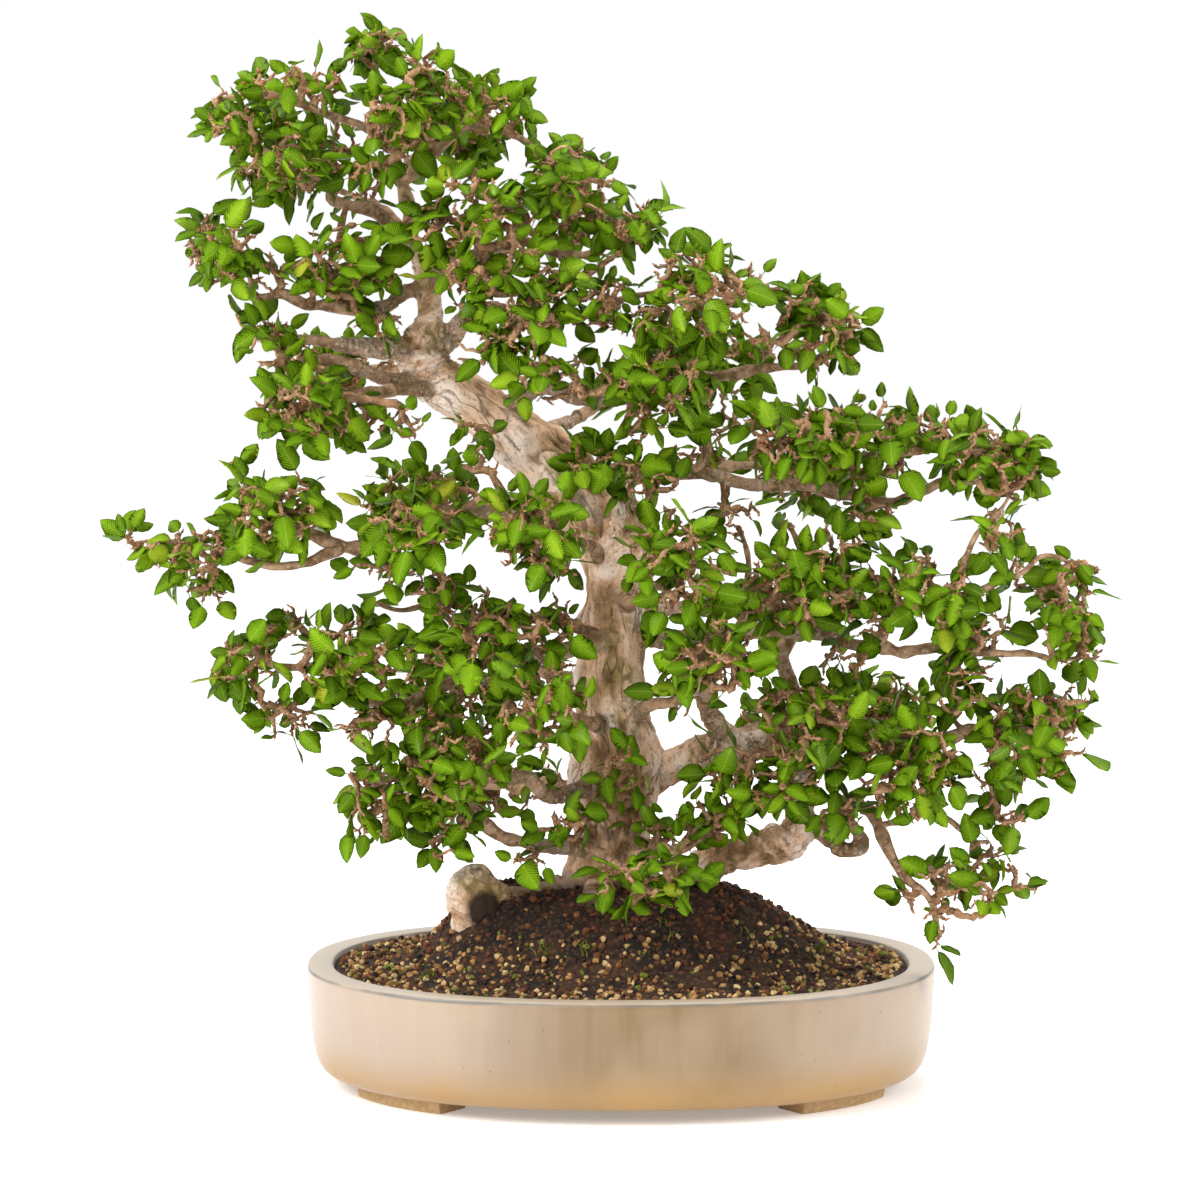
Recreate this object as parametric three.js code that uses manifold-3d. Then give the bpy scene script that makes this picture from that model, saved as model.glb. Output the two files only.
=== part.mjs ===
// Korean hornbeam bonsai in an oval stoneware pot: a leaning tree with two trunks that rise
// from one root base, horizontal limbs with small toothed leaves, and a mound of gritty soil.
// Millimetres, +Z up, standing on its four feet at z = 0, with the tree's front facing -Y.

import * as THREE from 'three';
import { mergeVertices } from 'three/addons/utils/BufferGeometryUtils.js';
import Module from 'manifold-3d';

const wasm = await Module();
wasm.setup();

// Pot: a superellipse in plan, given by its half sizes at the rim.
const POT_HALF_LENGTH = 239.5;
const POT_HALF_DEPTH = 190.5;
const POT_ROUNDNESS = 2.26;
const POT_SIDES = 32;
const RIM_LEVEL = 92;
const BODY_BOTTOM = 9;
const FLOOR_LEVEL = 19;
const DRAIN_RADIUS = 15;
const DRAIN_SPACING = 220;
const WIRE_HOLE_RADIUS = 3;
const FOOT_ANGLES = [0.42, 0.94];
const FOOT_INSETS = [28, 54];

// Pot wall from the underside out, up to the flat rim and down inside to the floor:
// pairs of inset from the rim's outer edge and level.
const POT_OUTSIDE = [[26, BODY_BOTTOM], [14, 11.5], [7.5, 20], [3.5, 36], [0.6, 64], [0, 90.4]];
const POT_RIM = [[1.6, RIM_LEVEL], [19, RIM_LEVEL]];
const POT_INSIDE = [[20.5, 90.4], [22, 80], [25, 38], [42, FLOOR_LEVEL]];

// Soil: it fills the pot to just under the rim and is heaped up round the trunks.
const SOIL_EDGE_DROP = 3.5;
const SOIL_EDGE_INSET = 21.3;
const MOUND_HEIGHT = 62;
const MOUND_REACH = [138, 108];
const KNOB_MOUND_HEIGHT = 20;

// Drain screens: sheets of plastic mesh that lie over the two drain holes.
const SCREEN_SIZE = 44;
const SCREEN_THICKNESS = 1.2;
const SCREEN_CELLS = 3;
const SCREEN_BAR = 4;

// Leaves: oval, pointed and toothed, folded a little along the midrib.
const LEAF_LENGTH = [27, 37];
const LEAF_WIDTH = 0.64;
const LEAF_THICKNESS = 1.4;
const LEAF_FOLD = 0.13;
const LEAF_DROOP = 0.16;
const PETIOLE_LENGTH = 6;
const PETIOLE_WIDTH = 1.5;
const LEAVES_PER_TIP = 2;

// Teeth and notches of a leaf's edge: pairs of share of length and share of half width.
const LEAF_EDGE = [[0.27, 0.97], [0.44, 0.8], [0.62, 0.86]];

// Twigs that carry the leaves.
const TWIG_RADIUS = 1.5;
const TWIG_SIDES = 3;
const TWIG_TAPER = [1.15, 0.85, 1.2];
const TWIG_BOW = 0.1;
const THICKEST_CARRIER = 16;
const FOOT_SPACING = 14;

// How far a limb's station may lie off the straight taper before it is left out.
const BEND_KEPT = 6;

// How near a limb's start lies to the limb that bears it.
const ROOT_REACH = 16;

// Shortest edge that a spray may have, and how often it may be drawn to get there.
const SHORTEST_EDGE = 0.02;
const MOST_DRAWS = 12;

// Space left between pieces that touch, and between blades of neighbouring sprays.
const SEAT_GAP = 0.45;
const BLADE_GAP = 0.5;

// Finish of each material, as seen.
const MATERIALS = {
  stoneware: { color: 0xe1cdb4, roughness: 0.42, metalness: 0 },
  soil: { color: 0x4a3423, roughness: 0.95, metalness: 0 },
  bark: { color: 0xb39c88, roughness: 0.85, metalness: 0 },
  leaf: { color: 0x4f8a24, roughness: 0.45, metalness: 0 },
  screen: { color: 0x2b2f2c, roughness: 0.6, metalness: 0 },
};

// Routes of the trunks, limbs and roots: stations of x, y, z and radius, from the thick
// end out. The pot stands round x = 0, y = 0.
const LIMBS = {
  mainTrunk: [
    [-11, 10, 117, 36], [-11, 8, 140, 38], [-11, 5, 160, 33], [-7, 2, 187, 31], [-5, 0, 215, 33],
    [-2, 0, 242, 35], [-5, 0, 265, 31], [-7, 0, 291, 28], [-6, 0, 330, 26], [-5, 0, 366, 24.5],
    [-2, 0, 392, 28], [-5, 0, 421, 31], [-27, 0, 448, 27], [-61, 0, 480, 24], [-92, 0, 504, 21.5],
    [-118, 0, 522, 19.5], [-142, 0, 539, 18.5], [-151, 0, 557, 18], [-146, 0, 579, 11],
    [-146, 0, 598, 9], [-148, 0, 621, 9], [-156, 0, 638, 7], [-164, 2, 670, 5], [-171, 4, 712, 3.6],
    [-179, 5, 749, 2.6], [-185, 6, 781, 1.6],
  ],
  lowTrunk: [
    [53, 25, 114, 15], [59, 20, 136, 15], [63, 12, 157, 14.5], [80, 0, 171, 14], [97, -10, 177, 14],
    [117, -20, 183, 14.5], [132, -26, 192, 13], [135, -28, 209, 11], [132, -28, 227, 9.5],
    [137, -30, 249, 8.5], [137, -30, 283, 8], [131, -30, 296, 7.5], [127, -28, 312, 6.5],
    [122, -25, 328, 5.5], [135, -20, 353, 4.2], [139, -16, 377, 3.4], [137, -12, 403, 2.6],
    [128, -8, 425, 1.6],
  ],
  massiveLimb: [
    [5, 8, 214, 17], [26, 0, 232, 15], [45, -8, 244, 13.5], [67, -18, 255, 12.5], [94, -28, 257, 12],
    [127, -35, 266, 11.5], [157, -40, 268, 10.5], [194, -46, 265, 8.5], [235, -52, 266, 6.5],
    [264, -56, 276, 5], [290, -58, 277, 4], [319, -58, 273, 3], [340, -54, 281, 1.8],
  ],
  curvedLimb: [
    [91, -28, 258, 9.5], [77, -24, 270, 9], [68, -18, 283, 8], [64, -12, 300, 6.8], [70, -6, 319, 5.5],
    [83, -2, 341, 4.2], [92, 2, 368, 3.2], [94, 5, 398, 2.2], [89, 8, 422, 1.5],
  ],
  rightForkLimb: [
    [-143, 4, 556, 11], [-132, 4, 565, 9], [-122, 0, 576, 7.5], [-108, -6, 588, 6.5],
    [-87, -16, 589, 5.5], [-59, -28, 581, 4.6], [-29, -38, 583, 3.6], [0, -45, 594, 2.6],
    [30, -48, 603, 1.7],
  ],
  crownLeftLow: [
    [-149, 0, 601, 6.5], [-165, -6, 603, 6], [-180, -14, 592, 5.6], [-198, -22, 592, 5],
    [-218, -28, 593, 4.4], [-236, -34, 591, 3.8], [-250, -38, 600, 3.2], [-268, -42, 599, 2.6],
    [-279, -44, 619, 2], [-293, -44, 635, 1.5],
  ],
  crownLeftHigh: [
    [-159, 0, 643, 5.5], [-177, -10, 654, 5], [-194, -18, 664, 4.5], [-218, -24, 671, 4],
    [-222, -25, 686, 3.4], [-247, -28, 697, 2.8], [-273, -30, 705, 2.3], [-292, -30, 728, 1.8],
    [-304, -30, 745, 1.4],
  ],
  crownTopLeft: [
    [-170, 4, 708, 3.6], [-194, -12, 724, 3], [-231, -26, 743, 2.4], [-267, -34, 750, 1.9],
    [-301, -38, 745, 1.4],
  ],
  crownTopRight: [
    [-165, 2, 681, 4.2], [-139, -14, 707, 3.5], [-107, -28, 725, 2.9], [-68, -36, 710, 2.4],
    [-32, -40, 690, 1.9], [-9, -42, 675, 1.4],
  ],
  crownRightHigh: [
    [-148, 4, 624, 6], [-131, -2, 628, 5.4], [-110, -10, 633, 4.9], [-87, -20, 637, 4.4],
    [-65, -28, 634, 3.9], [-46, -33, 627, 3.3], [-23, -36, 627, 2.6], [0, -36, 640, 2],
    [21, -34, 653, 1.5],
  ],
  crownRightLow: [
    [-146, 4, 603, 5.6], [-131, -8, 616, 5.2], [-114, -18, 618, 4.8], [-98, -26, 604, 4.4],
    [-79, -34, 601, 4], [-57, -40, 604, 3.4], [-31, -46, 611, 2.7], [-6, -50, 622, 1.7],
  ],
  leftStub: [
    [-157, -2, 556, 10], [-173, -10, 558, 9], [-189, -18, 559, 7.5], [-211, -26, 562, 5],
    [-237, -34, 565, 3.6], [-264, -40, 564, 2.6], [-283, -42, 575, 1.6],
  ],
  leftMiddle: [
    [-144, -4, 535, 7.5], [-163, -16, 533, 6.5], [-184, -28, 539, 5.6], [-212, -40, 548, 4.6],
    [-239, -50, 550, 3.6], [-257, -56, 536, 2.6], [-267, -58, 518, 1.6],
  ],
  leftLow: [
    [-132, -8, 529, 7], [-155, -26, 529, 5.6], [-180, -42, 528, 4.8], [-200, -54, 522, 4],
    [-225, -62, 516, 3], [-241, -66, 499, 1.7],
  ],
  upperRight: [
    [-88, -4, 509, 10], [-72, -16, 526, 8], [-55, -26, 532, 7], [-35, -36, 524, 6.4],
    [-12, -38, 520, 6], [11, -38, 521, 5.6], [35, -36, 527, 5], [60, -36, 536, 4.4],
    [87, -36, 537, 3.8], [117, -36, 543, 3.1], [147, -32, 551, 2.4], [173, -28, 559, 1.6],
  ],
  upperRightRise: [
    [2, -38, 522, 4.6], [15, -48, 540, 4], [30, -56, 558, 3.4], [54, -60, 576, 2.8],
    [82, -62, 594, 2.2], [111, -60, 604, 1.5],
  ],
  upperRightHang: [
    [25, -37, 523, 4], [45, -42, 511, 3.8], [55, -44, 498, 3.5], [59, -42, 482, 3.3],
    [51, -36, 467, 3.4],
  ],
  middleRight: [
    [-25, 6, 456, 9], [-1, -14, 467, 6.5], [25, -26, 469, 6], [51, -36, 467, 5.8], [90, -40, 459, 5.2],
    [126, -42, 456, 4.7], [162, -44, 452, 4.2], [201, -46, 449, 3.7], [227, -46, 455, 3],
    [253, -44, 458, 2.3], [280, -40, 466, 1.5],
  ],
  middleRightHigh: [
    [138, -43, 455, 3.8], [160, -50, 469, 3.3], [183, -54, 477, 2.9], [211, -56, 482, 2.5],
    [246, -54, 477, 2.1], [276, -50, 485, 1.7], [299, -46, 491, 1.3],
  ],
  lowerRight: [
    [1, -4, 344, 10], [26, -20, 341, 8], [52, -32, 342, 7], [85, -42, 346, 6.4], [128, -48, 347, 5.8],
    [156, -52, 346, 5.3], [180, -56, 339, 4.8], [206, -60, 332, 4.3], [237, -64, 334, 3.7],
    [271, -66, 333, 3.1], [301, -66, 334, 2.5], [325, -62, 331, 2], [351, -56, 336, 1.4],
  ],
  lowerRightRise: [
    [190, -58, 337, 4], [201, -66, 360, 3.6], [223, -72, 368, 3.2], [249, -76, 377, 2.8],
    [273, -76, 389, 2.4], [297, -74, 394, 2], [322, -68, 406, 1.5], [348, -62, 403, 1.2],
  ],
  lowerRightUp: [
    [246, -75, 375, 2.6], [252, -80, 402, 2.3], [262, -80, 420, 2], [274, -78, 438, 1.6],
    [289, -74, 455, 1.2],
  ],
  rightDrop: [
    [162, -32, 219, 6], [181, -44, 216, 5.2], [191, -56, 199, 4.4], [204, -68, 178, 3.6],
    [219, -76, 159, 2.8], [231, -82, 143, 2.1], [241, -86, 126, 1.4],
  ],
  rightDropOut: [
    [206, -69, 176, 2.8], [230, -76, 171, 2.4], [250, -80, 160, 2], [277, -80, 156, 1.7],
    [297, -76, 159, 1.3],
  ],
  rightDropHigh: [
    [189, -55, 204, 3], [210, -66, 210, 2.5], [233, -72, 211, 2.1], [248, -74, 199, 1.7],
    [261, -72, 187, 1.3],
  ],
  gnarledStub: [
    [136, -25, 189, 9], [149, -32, 198, 8.5], [157, -38, 191, 8], [166, -40, 182, 7],
    [180, -40, 188, 5], [165, -36, 215, 6.2],
  ],
  lowerLeft: [
    [2, -12, 338, 9], [-19, -32, 339, 7.6], [-39, -42, 337, 7], [-61, -50, 333, 6.4],
    [-91, -58, 327, 5.8], [-117, -64, 318, 5.3], [-146, -70, 306, 4.9], [-172, -74, 297, 4.5],
    [-190, -76, 304, 4.1], [-205, -78, 318, 3.6], [-218, -78, 329, 3.2], [-232, -78, 346, 2.4],
    [-240, -74, 363, 1.5],
  ],
  lowerLeftOut: [
    [-216, -78, 328, 3.2], [-241, -84, 323, 2.7], [-261, -88, 328, 2.2], [-282, -88, 338, 1.7],
    [-298, -86, 327, 1.2],
  ],
  thinLeft: [
    [-16, -16, 352, 5], [-46, -32, 357, 3.8], [-76, -42, 352, 3.2], [-104, -48, 351, 2.8],
    [-127, -50, 353, 2.4], [-145, -50, 367, 2], [-167, -48, 369, 1.6], [-191, -44, 374, 1.2],
  ],
  mossyLimb: [
    [-24, -14, 440, 10], [-45, -34, 445, 8.5], [-68, -44, 447, 8], [-87, -50, 444, 7.5],
    [-105, -56, 437, 7], [-124, -60, 434, 6.5], [-151, -66, 424, 5.8], [-179, -70, 412, 5.2],
    [-210, -74, 412, 4.6], [-236, -76, 421, 4], [-253, -76, 435, 3.2], [-272, -74, 448, 2.4],
    [-284, -70, 473, 1.5],
  ],
  mossyLimbLow: [
    [-205, -74, 411, 4], [-230, -82, 402, 3.5], [-258, -86, 399, 3], [-287, -88, 407, 2.5],
    [-314, -86, 412, 2], [-341, -80, 419, 1.5], [-362, -76, 418, 1.2],
  ],
  lowLeft: [
    [-11, -18, 229, 9], [-35, -38, 226, 7], [-55, -48, 223, 6.2], [-73, -56, 236, 5.6],
    [-91, -62, 238, 5], [-111, -68, 240, 4.4], [-134, -74, 245, 3.8], [-161, -78, 249, 3],
    [-184, -80, 242, 2.2], [-202, -78, 232, 1.5],
  ],
  lowestLeft: [
    [-22, -20, 179, 8], [-46, -42, 184, 6], [-73, -56, 190, 5], [-91, -62, 200, 4.4],
    [-111, -68, 219, 3.8], [-132, -72, 227, 3.2], [-154, -76, 225, 2.4], [-174, -78, 211, 1.6],
  ],
  frontLow: [
    [-22, -24, 183, 5.5], [-28, -50, 188, 4.5], [-17, -78, 185, 3.6], [-7, -100, 177, 2.6],
    [9, -118, 165, 1.5],
  ],
  frontLowRight: [
    [11, -22, 185, 5.5], [22, -52, 185, 4.3], [35, -80, 188, 3.2], [46, -104, 179, 2.2],
    [50, -120, 168, 1.4],
  ],
  frontHigh: [
    [-16, -18, 400, 5.5], [-23, -50, 411, 4], [-37, -84, 419, 2.8], [-51, -114, 427, 1.5],
  ],
  frontMiddle: [
    [1, -18, 366, 5.5], [15, -50, 378, 4], [34, -84, 383, 2.8], [53, -114, 392, 1.5],
  ],
  frontLeftMiddle: [
    [-13, -22, 274, 6], [-31, -54, 285, 4.4], [-54, -88, 292, 3.2], [-80, -118, 292, 1.6],
  ],
  frontRightMiddle: [
    [11, -20, 281, 6], [29, -54, 297, 4.2], [52, -86, 308, 3], [75, -114, 321, 1.5],
  ],
  backLow: [
    [-8, 20, 220, 9], [-24, 62, 217, 6.6], [-59, 104, 209, 4.6], [-96, 140, 209, 3],
    [-132, 170, 200, 1.6],
  ],
  backLowRight: [
    [60, -6, 252, 8], [83, 44, 254, 6.2], [130, 88, 263, 4.8], [184, 124, 265, 3.4],
    [238, 148, 258, 1.6],
  ],
  backLeft: [
    [-11, 16, 297, 9], [-28, 56, 299, 6.8], [-66, 100, 300, 5], [-113, 138, 291, 3.4],
    [-161, 164, 293, 1.7],
  ],
  backRight: [
    [1, 16, 350, 8.5], [24, 56, 354, 6.4], [72, 98, 357, 4.8], [130, 134, 352, 3.2],
    [186, 156, 341, 1.6],
  ],
  backMiddleLeft: [
    [-13, 18, 408, 8], [-42, 58, 421, 6], [-91, 96, 431, 4.4], [-146, 126, 431, 3],
    [-197, 146, 423, 1.5],
  ],
  backMiddleRight: [
    [-16, 16, 454, 7.5], [21, 52, 461, 5.6], [71, 86, 466, 4.2], [134, 114, 461, 2.8],
    [191, 132, 454, 1.4],
  ],
  backUpper: [
    [-69, 14, 484, 7], [-42, 48, 500, 5.2], [1, 80, 517, 3.8], [54, 104, 532, 2.6],
    [104, 120, 543, 1.4],
  ],
  backUpperLeft: [
    [-128, 8, 532, 6.5], [-149, 40, 540, 4.8], [-183, 70, 542, 3.6], [-224, 94, 539, 2.4],
    [-259, 108, 529, 1.4],
  ],
  backCrown: [
    [-147, 6, 595, 5.5], [-134, 36, 609, 4.2], [-105, 62, 624, 3.2], [-66, 84, 638, 2.2],
    [-25, 96, 641, 1.3],
  ],
  backCrownLeft: [
    [-158, 4, 642, 5], [-176, 30, 659, 3.8], [-206, 54, 675, 2.9], [-243, 72, 687, 2],
    [-278, 84, 691, 1.3],
  ],
  backTop: [
    [-165, 4, 682, 4], [-153, 28, 704, 3], [-129, 46, 729, 2.2], [-104, 60, 743, 1.3],
  ],
  rootKnob: [
    [-8, 0, 153, 14], [-39, -12, 148, 12], [-65, -22, 142, 11], [-88, -28, 143, 10.5],
    [-107, -32, 152, 17], [-120, -34, 140, 13], [-126, -34, 116, 9],
  ],
  frontRoot: [
    [-13, -16, 152, 15], [-22, -50, 149, 12], [-31, -80, 138, 9], [-38, -104, 119, 6],
  ],
  rightRoot: [
    [7, 0, 152, 15], [33, -22, 151, 12], [58, -44, 144, 9], [80, -62, 127, 6],
  ],
  backRoot: [
    [-1, 20, 152, 15], [9, 58, 149, 11], [16, 90, 136, 8], [20, 112, 118, 6],
  ],
};

const ROOT_KNOB = { centre: [-112, -34, 150], half: [19, 17, 21] };

// Pads of foliage: each is an ellipsoid that one spray fills with leaves at its twig ends.
const PADS = {
  crownTip: { centre: [-186, 4, 791], half: [27, 40, 23], tips: 3 },
  crownTopLeft: { centre: [-242, -30, 759], half: [39, 40, 21], tips: 2 },
  crownLeftTip: { centre: [-297, -35, 730], half: [25, 45, 27], tips: 2 },
  crownLeft: { centre: [-246, -48, 695], half: [39, 36, 25], tips: 2 },
  crownMiddle: { centre: [-165, -52, 725], half: [34, 36, 34], tips: 2 },
  crownRightHigh: { centre: [-99, -32, 735], half: [37, 40, 25], tips: 2 },
  crownRight: { centre: [-42, -45, 690], half: [36, 45, 27], tips: 2 },
  crownRightTip: { centre: [8, -42, 650], half: [30, 45, 18], tips: 2 },
  crownFront: { centre: [-106, -72, 658], half: [49, 34, 30], tips: 2 },
  crownBackLeft: { centre: [-250, 72, 710], half: [56, 40, 40], tips: 2 },
  crownBack: { centre: [-130, 62, 729], half: [57, 36, 40], tips: 2 },
  crownBackRight: { centre: [-38, 96, 661], half: [52, 40, 30], tips: 2 },
  leftHighTip: { centre: [-297, -48, 634], half: [28, 45, 30], tips: 2 },
  leftHigh: { centre: [-212, -56, 624], half: [37, 40, 33], tips: 2 },
  leftUpperTip: { centre: [-270, -50, 562], half: [27, 50, 25], tips: 2 },
  leftUpperLow: { centre: [-228, -80, 516], half: [44, 46, 27], tips: 2 },
  rightFork: { centre: [-34, -66, 596], half: [44, 46, 27], tips: 2 },
  upperRightHigh: { centre: [61, -70, 607], half: [47, 50, 28], tips: 2 },
  upperRightTip: { centre: [148, -48, 572], half: [36, 55, 31], tips: 2 },
  upperRightLow: { centre: [28, -90, 533], half: [44, 40, 26], tips: 2 },
  middleRight: { centre: [131, -80, 493], half: [52, 46, 32], tips: 2 },
  middleRightTip: { centre: [274, -58, 475], half: [42, 55, 33], tips: 2 },
  mossyTip: { centre: [-322, -82, 414], half: [37, 45, 25], tips: 3 },
  mossyMiddle: { centre: [-255, -94, 440], half: [40, 50, 34], tips: 2 },
  mossyInner: { centre: [-155, -100, 441], half: [44, 40, 35], tips: 2 },
  frontHigh: { centre: [-63, -124, 429], half: [39, 36, 39], tips: 2 },
  frontMiddle: { centre: [42, -124, 401], half: [44, 36, 38], tips: 2 },
  lowerRightInner: { centre: [132, -88, 384], half: [47, 46, 34], tips: 2 },
  lowerRightUp: { centre: [227, -92, 383], half: [37, 46, 32], tips: 2 },
  lowerRightTop: { centre: [287, -82, 434], half: [31, 50, 32], tips: 2 },
  lowerRightTip: { centre: [330, -62, 364], half: [25, 50, 45], tips: 2 },
  lowerLeftTip: { centre: [-277, -90, 329], half: [28, 50, 25], tips: 2 },
  lowerLeft: { centre: [-200, -100, 335], half: [42, 46, 34], tips: 2 },
  lowerLeftInner: { centre: [-111, -106, 347], half: [41, 40, 29], tips: 2 },
  lowLeftTip: { centre: [-182, -82, 224], half: [29, 50, 35], tips: 2 },
  lowLeft: { centre: [-126, -108, 260], half: [44, 42, 37], tips: 2 },
  frontLeftMiddle: { centre: [-56, -132, 297], half: [38, 36, 35], tips: 2 },
  frontRightMiddle: { centre: [68, -130, 338], half: [39, 36, 32], tips: 2 },
  massiveInner: { centre: [132, -92, 285], half: [44, 46, 38], tips: 2 },
  massiveMiddle: { centre: [210, -92, 251], half: [44, 46, 41], tips: 2 },
  massiveTip: { centre: [308, -62, 272], half: [42, 55, 42], tips: 3 },
  rightDrop: { centre: [244, -88, 159], half: [46, 42, 34], tips: 2 },
  frontLow: { centre: [15, -128, 170], half: [44, 36, 25], tips: 2 },
  backLow: { centre: [-112, 150, 207], half: [54, 42, 38], tips: 2 },
  backLowRight: { centre: [207, 142, 262], half: [57, 42, 38], tips: 2 },
  backLeft: { centre: [-136, 150, 295], half: [57, 42, 37], tips: 2 },
  backRight: { centre: [143, 136, 357], half: [57, 42, 36], tips: 2 },
  backMiddleLeft: { centre: [-158, 130, 433], half: [54, 42, 35], tips: 2 },
  backMiddleRight: { centre: [149, 116, 465], half: [57, 42, 35], tips: 2 },
  backUpper: { centre: [62, 106, 544], half: [55, 42, 31], tips: 2 },
  backUpperLeft: { centre: [-235, 96, 536], half: [45, 42, 34], tips: 2 },
};

// Small mulberry generator, so that every draw repeats.
function seededRandom(seed) {
  let state = seed;
  return () => {
    state = (state + 0x6d2b79f5) | 0;
    let mixed = Math.imul(state ^ (state >>> 15), 1 | state);
    mixed = (mixed + Math.imul(mixed ^ (mixed >>> 7), 61 | mixed)) ^ mixed;
    return ((mixed ^ (mixed >>> 14)) >>> 0) / 4294967296;
  };
}

function toSolid(geometry) {
  const bare = geometry.clone();
  bare.deleteAttribute('normal');
  bare.deleteAttribute('uv');
  const merged = mergeVertices(bare, 1e-4);
  const mesh = new wasm.Mesh({
    numProp: 3,
    vertProperties: new Float32Array(merged.attributes.position.array),
    triVerts: new Uint32Array(merged.index.array),
  });
  return new wasm.Manifold(mesh);
}

function toGeometry(solid) {
  const mesh = solid.getMesh();
  const geometry = new THREE.BufferGeometry();
  geometry.setAttribute('position', new THREE.BufferAttribute(mesh.vertProperties, 3));
  geometry.setIndex(new THREE.BufferAttribute(mesh.triVerts, 1));
  geometry.computeVertexNormals();
  return geometry;
}

function join(solids) {
  return solids.reduce((whole, solid) => whole.add(solid));
}

function largestBody(solid) {
  const bodies = solid.decompose();
  bodies.sort((a, b) => b.volume() - a.volume());
  return bodies[0];
}

// Closed skin over rings with the same number of points; a ring of one point is an apex.
function loft(rings) {
  const points = rings.flat();
  const starts = [];
  let total = 0;
  for (const ring of rings) {
    starts.push(total);
    total += ring.length;
  }
  const faces = [];
  for (let k = 0; k + 1 < rings.length; k += 1) {
    const sides = Math.max(rings[k].length, rings[k + 1].length);
    for (let i = 0; i < sides; i += 1) {
      const next = (i + 1) % sides;
      const low = starts[k] + (rings[k].length > 1 ? i : 0);
      const lowNext = starts[k] + (rings[k].length > 1 ? next : 0);
      const high = starts[k + 1] + (rings[k + 1].length > 1 ? i : 0);
      const highNext = starts[k + 1] + (rings[k + 1].length > 1 ? next : 0);
      if (low !== lowNext) faces.push(low, lowNext, high);
      if (high !== highNext) faces.push(lowNext, highNext, high);
    }
  }
  const last = rings.length - 1;
  for (let i = 1; i + 1 < rings[0].length; i += 1) {
    faces.push(starts[0], starts[0] + i + 1, starts[0] + i);
  }
  for (let i = 1; i + 1 < rings[last].length; i += 1) {
    faces.push(starts[last], starts[last] + i, starts[last] + i + 1);
  }
  const geometry = new THREE.BufferGeometry();
  const flat = points.flatMap((point) => [point.x, point.y, point.z]);
  geometry.setAttribute('position', new THREE.Float32BufferAttribute(flat, 3));
  geometry.setIndex(faces);
  return geometry;
}

// Tube through given stations. Each ring stands square to the path's direction there,
// and its frame is carried along the path so that the tube doesn't twist.
function tube(path, radii, sides, flute = () => 1) {
  const rings = [];
  const side = new THREE.Vector3();
  path.forEach((centre, k) => {
    const before = path[Math.max(k - 1, 0)];
    const after = path[Math.min(k + 1, path.length - 1)];
    const direction = after.clone().sub(before).normalize();
    if (k === 0) {
      side.set(Math.abs(direction.x) < 0.8 ? 1 : 0, Math.abs(direction.x) < 0.8 ? 0 : 1, 0);
    }
    side.addScaledVector(direction, -side.dot(direction)).normalize();
    const up = direction.clone().cross(side);
    const ring = [];
    for (let i = 0; i < sides; i += 1) {
      const angle = (2 * Math.PI * i) / sides;
      const radius = radii[k] * flute(angle, k);
      ring.push(centre.clone()
        .addScaledVector(side, radius * Math.cos(angle))
        .addScaledVector(up, radius * Math.sin(angle)));
    }
    rings.push(ring);
  });
  return toSolid(loft(rings));
}

// Points of the pot's plan outline, set in from the rim by an equal distance all round.
function outline(inset, level) {
  const ring = [];
  for (let i = 0; i < POT_SIDES; i += 1) {
    ring.push(outlinePoint((2 * Math.PI * i) / POT_SIDES, inset, level));
  }
  return ring;
}

function outlinePoint(angle, inset, level) {
  const power = 2 / POT_ROUNDNESS;
  const along = Math.sign(Math.cos(angle)) * Math.abs(Math.cos(angle)) ** power;
  const across = Math.sign(Math.sin(angle)) * Math.abs(Math.sin(angle)) ** power;
  return new THREE.Vector3((POT_HALF_LENGTH - inset) * along, (POT_HALF_DEPTH - inset) * across, level);
}

function potSolid() {
  const profile = [...POT_OUTSIDE, ...POT_RIM, ...POT_INSIDE];
  const rings = profile.map(([inset, level]) => outline(inset, level));
  const underside = [new THREE.Vector3(0, 0, BODY_BOTTOM)];
  const floor = [new THREE.Vector3(0, 0, FLOOR_LEVEL)];
  let pot = toSolid(loft([underside, ...rings, floor]));
  for (const [turn, mirrored] of [[0, 1], [0, -1], [Math.PI, 1], [Math.PI, -1]]) {
    pot = pot.add(footSolid(turn, mirrored));
  }
  for (const x of [-DRAIN_SPACING / 2, DRAIN_SPACING / 2]) {
    pot = pot.subtract(verticalHole(x, 0, DRAIN_RADIUS, 20));
    for (const y of [-1, 1]) {
      pot = pot.subtract(verticalHole(x * 0.6, y * DRAIN_SPACING * 0.28, WIRE_HOLE_RADIUS, 8));
    }
  }
  return pot;
}

function verticalHole(x, y, radius, sides) {
  const hole = new THREE.CylinderGeometry(radius, radius, FLOOR_LEVEL * 2, sides);
  hole.rotateX(Math.PI / 2);
  hole.translate(x, y, FLOOR_LEVEL);
  return toSolid(hole);
}

// Foot: a curved block under the body's edge, flush with a stretch of the outline.
function footSolid(turn, mirrored) {
  const [from, to] = FOOT_ANGLES;
  const [outer, inner] = FOOT_INSETS;
  const steps = 4;
  const plan = [];
  for (let i = 0; i <= steps; i += 1) {
    plan.push(outlinePoint(from + ((to - from) * i) / steps, outer, 0));
  }
  for (let i = steps; i >= 0; i -= 1) {
    plan.push(outlinePoint(from + ((to - from) * i) / steps, inner, 0));
  }
  const shape = new THREE.Shape(plan.map((point) => new THREE.Vector2(point.x, point.y)));
  const foot = new THREE.ExtrudeGeometry(shape, { depth: BODY_BOTTOM + 1, bevelEnabled: false });
  foot.rotateZ(turn);
  const solid = toSolid(foot);
  return mirrored > 0 ? solid : solid.mirror([0, 1, 0]);
}

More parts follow.
